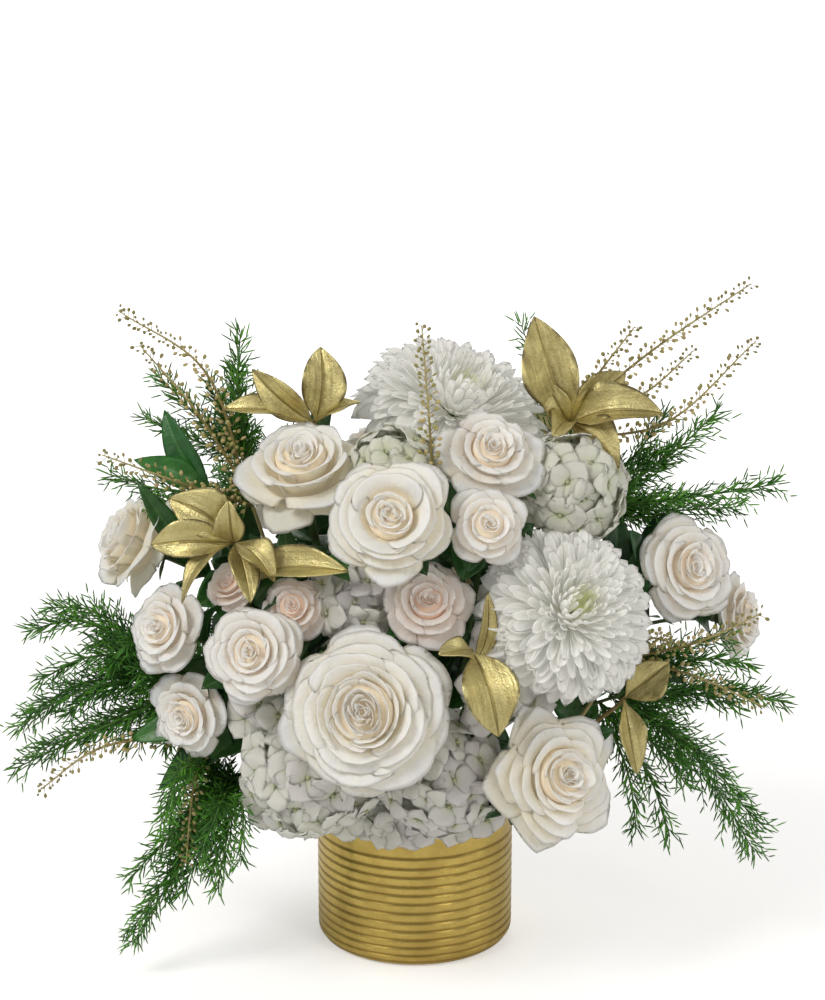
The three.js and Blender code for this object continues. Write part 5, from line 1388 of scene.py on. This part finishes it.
class CENTERPIECE_OT_stems(bpy.types.Operator):
    """Builds the stems of the roses and of the sprays, with their calyxes and a few leaves"""

    bl_idname = "centerpiece.stems"
    bl_label = "Stems"

    def execute(self, context):
        skin = stem_skin()
        leaf = once("rose_leaf", leaf_material)
        for number, (name, (base, facing, radius, _, _, foot)) in enumerate(ROSES.items()):
            rng, pile = new_piece("rose_stems", number)
            seat, axis = bloom_seat(base, facing, radius)
            line = stem_line(foot, seat, axis)
            add_tube(pile, line, ROSE_STEM, 10)
            add_calyx(pile, seat, axis, radius, rng, 0)
            add_stem_leaves(pile, line, 0.35, 0.88, 13, rng, 1)
            add_open_leaves(pile, name, line, rng)
            finished(pile.make(name + "_stalk", skin, leaf), name + "_stem")
        for number, (name, (foot, fork, carried)) in enumerate(SPRAYS.items()):
            rng, pile = new_piece("spray_stems", number)
            joint = np.array(fork)
            root, start, outward = out_of_foam(foot)
            rise = unit(joint - start)
            trunk = bend(start, outward, joint, rise, SIDE_PULL, np.linspace(0, 1, 14))
            trunk = np.vstack([root, trunk])
            add_tube(pile, trunk, SPRAY_STEM, 9)
            add_stem_leaves(pile, trunk, 0.45, 0.98, 11, rng, 1)
            add_open_leaves(pile, name, trunk, rng)
            for base, facing, radius, _, _ in carried.values():
                seat, axis = bloom_seat(base, facing, radius)
                neck = seat - axis * CALYX
                side = bend(joint - rise * 0.003, rise, neck, axis, SIDE_PULL, np.linspace(0, 1, 12))
                add_tube(pile, np.vstack([side, seat]), SIDE_STEM, 8)
                add_stem_leaves(pile, side, 0.3, 0.85, 5, rng, 1)
                add_calyx(pile, seat, axis, radius, rng, 0)
            finished(pile.make(name + "_stalk", skin, leaf), name + "_stem")
        return {"FINISHED"}


class CENTERPIECE_OT_mums(bpy.types.Operator):
    """Builds the chrysanthemums with their stems"""

    bl_idname = "centerpiece.mums"
    bl_label = "Chrysanthemums"

    def execute(self, context):
        blooms = context.scene.centerpiece.blooms
        petal = once("chrysanthemum_petal", mum_material)
        for number, (name, (base, facing, radius, foot)) in enumerate(MUMS.items()):
            rng, pile = new_piece("mums", number)
            add_mum(pile, base, facing, radius, 0.3 * number, blooms.mum_petals, rng, blooms.petal_thickness)
            axis = heading(facing)
            line = stem_line(foot, np.array(base), axis)
            add_tube(pile, line, MUM_STEM, 10, slot=1)
            back, tone = (np.array(base) - axis * radius * 0.16)[None], [[0.5, 0.5, 0.5]]
            add_spindles(pile, back, axis[None], radius * 0.30, radius * 0.24, FLOWER_CUP, 16, tone, 1)
            finished(pile.make(name + "_bloom", petal, stem_skin()), name)
        return {"FINISHED"}


class CENTERPIECE_OT_hydrangeas(bpy.types.Operator):
    """Builds the hydrangea heads: florets on a ball of thin stalks, with their stems"""

    bl_idname = "centerpiece.hydrangeas"
    bl_label = "Hydrangeas"

    def execute(self, context):
        blooms = context.scene.centerpiece.blooms
        petal = once("hydrangea_petal", hydrangea_material)
        bead = once("hydrangea_eye", stem_material)
        outer, inner = HEAD_LAYERS
        for number, (name, head) in enumerate(HYDRANGEAS.items()):
            middle, radius, foot, count, green, skirt, strays = head
            rng, pile = new_piece("hydrangeas", number)
            centre = np.array(middle)
            down = unit(np.array(foot) - centre)
            size = blooms.floret_size * min(1, 0.72 + radius * 6)
            for share, florets, tint in ((outer, count, green), (inner, count * 2 // 3, green + 0.3)):
                spots, outward = self.spread(centre, radius, share, florets, down, rng)
                if skirt and share == outer:
                    spots, outward = self.add_skirt(spots, outward, skirt, rng)
                if strays and share == outer:
                    spots = np.vstack([spots, strays])
                    outward = np.vstack([outward, np.tile(heading(STRAY_WAY), (len(strays), 1))])
                clear = np.hypot(spots[:, 0], spots[:, 1]) > VASE_RADIUS + FLORET_GAP
                keep = clear | (spots[:, 2] > FOAM_TOP + FLORET_GAP)
                spots, outward = spots[keep], outward[keep]
                add_florets(pile, spots, outward, size, rng, min(tint, 1.0), FLORET_THICKNESS)
                roots, way = np.tile(centre, (len(spots), 1)), unit(spots - centre)
                reach = np.linalg.norm(spots - centre, axis=1)
                add_spindles(pile, roots, way, reach, 0.0007, FLORET_STALK, 4, [[0, 0, 0.5]], 1)
            add_tube(pile, stem_line(foot, centre, -down), HYDRANGEA_STEM, 9, slot=1)
            finished(pile.make(name + "_head", petal, stem_skin(), bead), name)
        return {"FINISHED"}

    def spread(self, centre, radius, share, count, down, rng):
        """Places and ways of florets on a ball: even steps of height, each turned by the golden angle from
        the last, and none where the stem comes in."""
        order = np.arange(count)
        height = 1 - 2 * (order + 0.5) / count
        ring, turn = np.sqrt(1 - height**2), order * GOLDEN_ANGLE + share
        outward = np.stack([ring * np.cos(turn), ring * np.sin(turn), height], axis=1)
        outward = unit(outward + 0.12 * rng.uniform(-1, 1, outward.shape))
        outward = outward[outward @ down < 0.86]
        return centre + outward * radius * share * rng.uniform(0.92, 1.04, (len(outward), 1)), outward

    def add_skirt(self, spots, outward, skirt, rng):
        """More florets, that hang over the vase's rim."""
        turn = np.radians(np.linspace(*skirt))
        away = np.stack([np.cos(turn), np.sin(turn), np.zeros(len(turn))], axis=1)
        hang = VASE_RADIUS + rng.uniform(0.014, 0.028, (len(turn), 1))
        level = VASE_HEIGHT + rng.uniform(-0.012, 0.008, (len(turn), 1))
        drop = unit(away + [0, 0, -0.15])
        return np.vstack([spots, away * hang + [0, 0, 1] * level]), np.vstack([outward, drop])


def build_sprigs(kind, sprigs, form, leaf, twig):
    """Leafy sprigs: a smooth twig, and a leaf from the given corner of it to each tip."""
    for number, (name, (corners, leaves)) in enumerate(sprigs.items()):
        rng, pile = new_piece(kind, number)
        add_tube(pile, twig_line(corners), LEAFY_TWIG, 8, slot=1)
        tips, widths, ups, backs = zip(*leaves)
        add_leaves(pile, [corners[-1 - back] for back in backs], tips, widths, ups, rng, form)
        finished(pile.make(name + "_sprig", leaf, twig), name)


class CENTERPIECE_OT_gilded_leaves(bpy.types.Operator):
    """Builds the sprigs of gilded leaves"""

    bl_idname = "centerpiece.gilded_leaves"
    bl_label = "Gilded Leaves"

    def execute(self, context):
        gold = context.scene.centerpiece.foliage.gold
        leaf = once("leaf_gilding", gilded_material, gold)
        twig = once("gilded_twig", stem_material)
        build_sprigs("gold", GOLD_SPRIGS, GILT_LEAF, leaf, twig)
        return {"FINISHED"}


class CENTERPIECE_OT_green_leaves(bpy.types.Operator):
    """Builds the sprigs of dark green leaves"""

    bl_idname = "centerpiece.green_leaves"
    bl_label = "Green Leaves"

    def execute(self, context):
        leaf = once("green_leaf", leaf_material)
        build_sprigs("green", GREEN_SPRIGS, ROSE_LEAF, leaf, stem_skin())
        return {"FINISHED"}


def side_shoots(line, spacing, tilt, rng, flat):
    """Roots and directions of shoots along a line: they alternate from side to side in the plane that lies
    flat to the view, with some turned out of it, and lean towards the tip."""
    _, _, length = walk(line, [0.5])
    count = max(2, int(length / spacing))
    shares = (np.arange(count) + rng.uniform(0.2, 0.8, count)) / count
    roots, slopes, _ = walk(line, shares)
    out = unit(np.cross(slopes, flat))
    roll = np.where(np.arange(count) % 2 == 0, 0.0, np.pi) + rng.uniform(-0.9, 0.9, count)
    out = turned(out, slopes, roll)
    lean = np.radians(tilt + rng.uniform(-10, 10, count))[:, None]
    return shares, roots, unit(slopes * np.cos(lean) + out * np.sin(lean)), slopes


class CENTERPIECE_OT_ferns(bpy.types.Operator):
    """Builds the ferns: plumes with side shoots set with fine needles"""

    bl_idname = "centerpiece.ferns"
    bl_label = "Ferns"

    def execute(self, context):
        foliage = context.scene.centerpiece.foliage
        needle, skin = once("fern_needle", needle_material), stem_skin()
        flat = unit(VIEW_PLANE)
        for number, (name, (corners, plumes, twins)) in enumerate(FERNS.items()):
            rng, pile = new_piece("ferns", number)
            add_tube(pile, twig_line(corners), FINE_TWIG, 8, 0.6, 1)
            for points, longest in plumes:
                self.add_plume(pile, through(points, 10), longest, foliage, rng, flat)
                for size in TWIN_PLUMES[:twins]:
                    reach = np.array([0, 0.6, 1])[:, None] * rng.uniform(-1, 1, 3) * longest * 0.9
                    twin = points[0] + (np.array(points) - points[0]) * size * rng.uniform(0.85, 1.05)
                    self.add_plume(pile, through(twin + reach, 10), longest * 0.85, foliage, rng, flat)
            finished(pile.make(name + "_frond", needle, skin), name)
        return {"FINISHED"}

    def add_plume(self, pile, line, longest, foliage, rng, flat):
        """A stem with bent side shoots that shorten to its tip, and needles along all of them."""
        add_tube(pile, line, PLUME_STEM, 6, 0.7)
        shares, roots, ways, slopes = side_shoots(line, foliage.shoot_spacing, 44, rng, flat)
        shoot = longest * (1 - 0.6 * shares) * rng.uniform(0.55, 1.0, len(shares))
        sag = (slopes * 0.18 + rng.uniform(-0.12, 0.12, roots.shape) - [0, 0, 0.05]) * shoot[:, None]
        add_spindles(pile, roots, ways, shoot, 0.0005, SHOOT, 4, [[0, 0.35, 0.4]], 0, sag)
        per = max(3, int(shoot.max() / foliage.needle_spacing))
        at = ((np.arange(per) + 0.6) / per)[None] * shoot.max() / shoot[:, None]
        owner, step = np.nonzero(at < 0.98)
        at = at[owner, step][:, None]
        spot = roots[owner] + ways[owner] * at * shoot[owner][:, None] + sag[owner] * at**2
        slope = unit(ways[owner] * shoot[owner][:, None] + 2 * sag[owner] * at)
        out = unit(np.cross(slope, flat))
        out = turned(out, slope, np.where(step % 2 == 0, 0.0, np.pi) + rng.uniform(-0.8, 0.8, len(owner)))
        way = unit(slope + out * rng.uniform(0.4, 0.75, (len(owner), 1)))
        size = foliage.needle_length * (1 - 0.4 * at[:, 0]) * rng.uniform(0.7, 1.15, len(owner))
        tone = stacked(0.0, 0.0, rng.uniform(0, 1, len(roots))[owner])
        add_spindles(pile, spot, way, size, NEEDLE_RADIUS, NEEDLE, 3, tone)
        tips, slopes, _ = walk(line, np.linspace(0.04, 1, int(2200 * longest)))
        out = turned(unit(np.cross(slopes, flat)), slopes, rng.uniform(0, 2 * np.pi, len(tips)))
        way, size = unit(slopes + out * 0.7), foliage.needle_length
        tone = stacked(0.0, 0.0, rng.uniform(0, 1, len(tips)))
        add_spindles(pile, tips, way, size, NEEDLE_RADIUS, NEEDLE, 3, tone)


class CENTERPIECE_OT_seed_sprays(bpy.types.Operator):
    """Builds the seed sprays: thin branches set all round with pods on short stalks"""

    bl_idname = "centerpiece.seed_sprays"
    bl_label = "Seed Sprays"

    def execute(self, context):
        foliage = context.scene.centerpiece.foliage
        pod = once("seed_pod_skin", pod_material)
        for number, (name, (corners, branches)) in enumerate(SEED_SPRAYS.items()):
            rng, pile = new_piece("seeds", number)
            add_tube(pile, twig_line(corners), FINE_TWIG, 8, 0.5)
            for points in branches:
                line = through(points, 10)
                add_tube(pile, line, PLUME_STEM, 6, 0.6)
                _, _, length = walk(line, [0.5])
                count = int(length / foliage.pod_spacing)
                shares = (np.arange(count) + 0.5) / count
                roots, slopes, _ = walk(line, shares)
                out = turned(unit(np.cross(slopes, VIEW_PLANE)), slopes, np.arange(count) * GOLDEN_ANGLE)
                way = unit(slopes * rng.uniform(0.35, 0.8, (count, 1)) + out)
                reach = rng.uniform(0.0045, 0.0100, count) * (1 - 0.35 * shares)
                body = foliage.pod_radius * rng.uniform(0.55, 1.05, count) * (1 - 0.3 * shares)
                tone = stacked(0.0, shares, rng.uniform(0, 1, count))
                add_spindles(pile, roots, way, reach + body, body, STALKED_POD, 6, tone)
            finished(pile.make(name + "_spray", pod), name)
        return {"FINISHED"}


class CENTERPIECE_OT_vase(bpy.types.Operator):
    """Builds the ribbed vase and finishes the foam in it"""

    bl_idname = "centerpiece.vase"
    bl_label = "Vase"

    def execute(self, context):
        vase = context.scene.centerpiece.vase
        outline, groove = self.profile(vase)
        angle, radii, heights = circle(VASE_TURNS), outline[1:-1, :1], outline[1:-1, 1:]
        body = stacked(radii * np.cos(angle), radii * np.sin(angle), heights).reshape(-1, 3)
        points = np.vstack([[[0, 0, outline[0, 1]]], body, [[0, 0, outline[-1, 1]]]])
        tone = np.concatenate([[0], np.repeat(groove[1:-1], VASE_TURNS), [0]])
        shade = stacked(points[:, 2] / vase.height, tone, 0.0)
        pile = Pile()
        pile.add(points, ring_faces(len(radii), VASE_TURNS), shade, points)
        finished(pile.make("ribbed_vase", once("gold_glaze", vase_material, vase.gold)), "vase")
        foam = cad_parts["foam_block"]
        foam.data.materials.clear()
        foam.data.materials.append(once("floral_foam", foam_material))
        return {"FINISHED"}

    def profile(self, vase):
        """Radius and height round the wall's section, from the axis under the foot to the axis on the floor,
        and how deep in a groove each point lies. A groove is a bell curve cut into the wall."""
        rise = np.linspace(0.0022, vase.height - 0.0022, 240)
        bell = np.exp(-(((rise[:, None] - np.array(RING_HEIGHTS)) / RING_WIDTH) ** 2)).max(axis=1)
        bulge = 0.0004 * np.sin(np.clip((rise - RIM_BAND[0]) / RIM_BAND[1], 0, 1) * np.pi)
        corner = FOOT_CORNER * (1 - np.sqrt(1 - np.clip(1 - rise / FOOT_CORNER, 0, 1) ** 2))
        wall = np.column_stack([vase.radius - vase.groove * bell + bulge - corner, rise])
        inset = vase.radius - FOOT_CORNER
        foot = [(0, 0), (vase.radius * 0.5, 0), (inset, 0)]
        foot += [(inset + 0.0025, 0.0003), (inset + 0.0045, 0.0012)]
        lip = np.radians(np.linspace(0, 180, 9))
        half = vase.wall / 2
        flat = half * 0.9
        rim = stacked(vase.radius - half + half * np.cos(lip), vase.height - flat + flat * np.sin(lip))
        inner = vase.radius - vase.wall
        inside = [(inner, vase.height * 0.8), (inner, 0.009), (inner - 0.003, VASE_FLOOR)]
        inside += [(vase.radius * 0.5, VASE_FLOOR), (0, VASE_FLOOR)]
        outline = np.vstack([foot, wall, rim, inside])
        groove = np.concatenate([np.zeros(len(foot)), bell, np.zeros(len(rim) + len(inside))])
        return outline, groove


class CENTERPIECE_OT_stage(bpy.types.Operator):
    """Builds the floor, the soft studio lights and the camera"""

    bl_idname = "centerpiece.stage"
    bl_label = "Stage"

    def execute(self, context):
        self.floor(context)
        self.lights(context)
        self.camera(context)
        return {"FINISHED"}

    def floor(self, context):
        corners = [(x * FLOOR_REACH, y * FLOOR_REACH, 0) for x, y in ((-1, -1), (1, -1), (1, 1), (-1, 1))]
        mesh = bpy.data.meshes.new("floor")
        mesh.from_pydata(corners, [], [(0, 1, 2, 3)])
        mesh.materials.append(once("pale_floor", floor_material, context.scene.centerpiece.floor))
        floor = bpy.data.objects.new("floor", mesh)
        context.scene.collection.objects.link(floor)

    def lights(self, context):
        world = bpy.data.worlds.new("studio")
        world.use_nodes = True
        background = world.node_tree.nodes["Background"]
        background.inputs["Color"].default_value = (*SKY_COLOUR, 1)
        nodes = Nodes(world.node_tree)
        seen = nodes.add("ShaderNodeLightPath").outputs["Is Camera Ray"]
        strength = nodes.plus(nodes.times(seen, SKY_SEEN), SKY_LIGHT)
        nodes.feed(background.inputs["Strength"], strength)
        context.scene.world = world
        for name, place, size, energy in LIGHTS:
            light = bpy.data.lights.new(name, "AREA")
            light.size, light.energy, light.color = size, energy, LIGHT_COLOUR
            lamp = bpy.data.objects.new(name, light)
            lamp.location = place
            lamp.rotation_euler = (Vector(LIGHT_AIM) - Vector(place)).to_track_quat("-Z", "Y").to_euler()
            context.scene.collection.objects.link(lamp)
        context.scene.view_settings.view_transform = "Standard"

    def camera(self, context):
        lens = bpy.data.cameras.new("camera")
        lens.sensor_width, lens.sensor_fit = SENSOR, "AUTO"
        lens.lens = SENSOR * FOCAL_PIXELS / PHOTO_SIDE
        lens.clip_start, lens.clip_end = 0.05, 200
        camera = bpy.data.objects.new("camera", lens)
        camera.location = CAMERA_PLACE
        camera.rotation_euler = (math.radians(CAMERA_TILT), 0, 0)
        context.scene.collection.objects.link(camera)
        context.scene.camera = camera


BUILD_ORDER = (
    CENTERPIECE_OT_stage,
    CENTERPIECE_OT_vase,
    CENTERPIECE_OT_roses,
    CENTERPIECE_OT_spray_roses,
    CENTERPIECE_OT_stems,
    CENTERPIECE_OT_mums,
    CENTERPIECE_OT_hydrangeas,
    CENTERPIECE_OT_gilded_leaves,
    CENTERPIECE_OT_green_leaves,
    CENTERPIECE_OT_ferns,
    CENTERPIECE_OT_seed_sprays,
)


class CENTERPIECE_PT_panel(bpy.types.Panel):
    """Lists the sizes, the colours and the pieces of the centerpiece"""

    bl_label = "Centerpiece"
    bl_space_type = "VIEW_3D"
    bl_region_type = "UI"
    bl_category = "Centerpiece"

    def draw(self, context):
        settings = context.scene.centerpiece
        for group in (settings.blooms, settings.foliage, settings.vase):
            box = self.layout.box()
            for name in group.__annotations__:
                box.prop(group, name)
        self.layout.prop(settings, "floor")
        for operator in BUILD_ORDER:
            self.layout.operator(operator.bl_idname)


SETTINGS = (BloomSettings, FoliageSettings, VaseSettings, CenterpieceSettings)
CLASSES = (*SETTINGS, *BUILD_ORDER, CENTERPIECE_PT_panel)


def register():
    for item in CLASSES:
        bpy.utils.register_class(item)
    bpy.types.Scene.centerpiece = bpy.props.PointerProperty(type=CenterpieceSettings)


def unregister():
    del bpy.types.Scene.centerpiece
    for item in reversed(CLASSES):
        bpy.utils.unregister_class(item)


def main():
    register()
    for operator in BUILD_ORDER:
        group, name = operator.bl_idname.split(".")
        getattr(getattr(bpy.ops, group), name)()


if __name__ == "__main__":
    main()
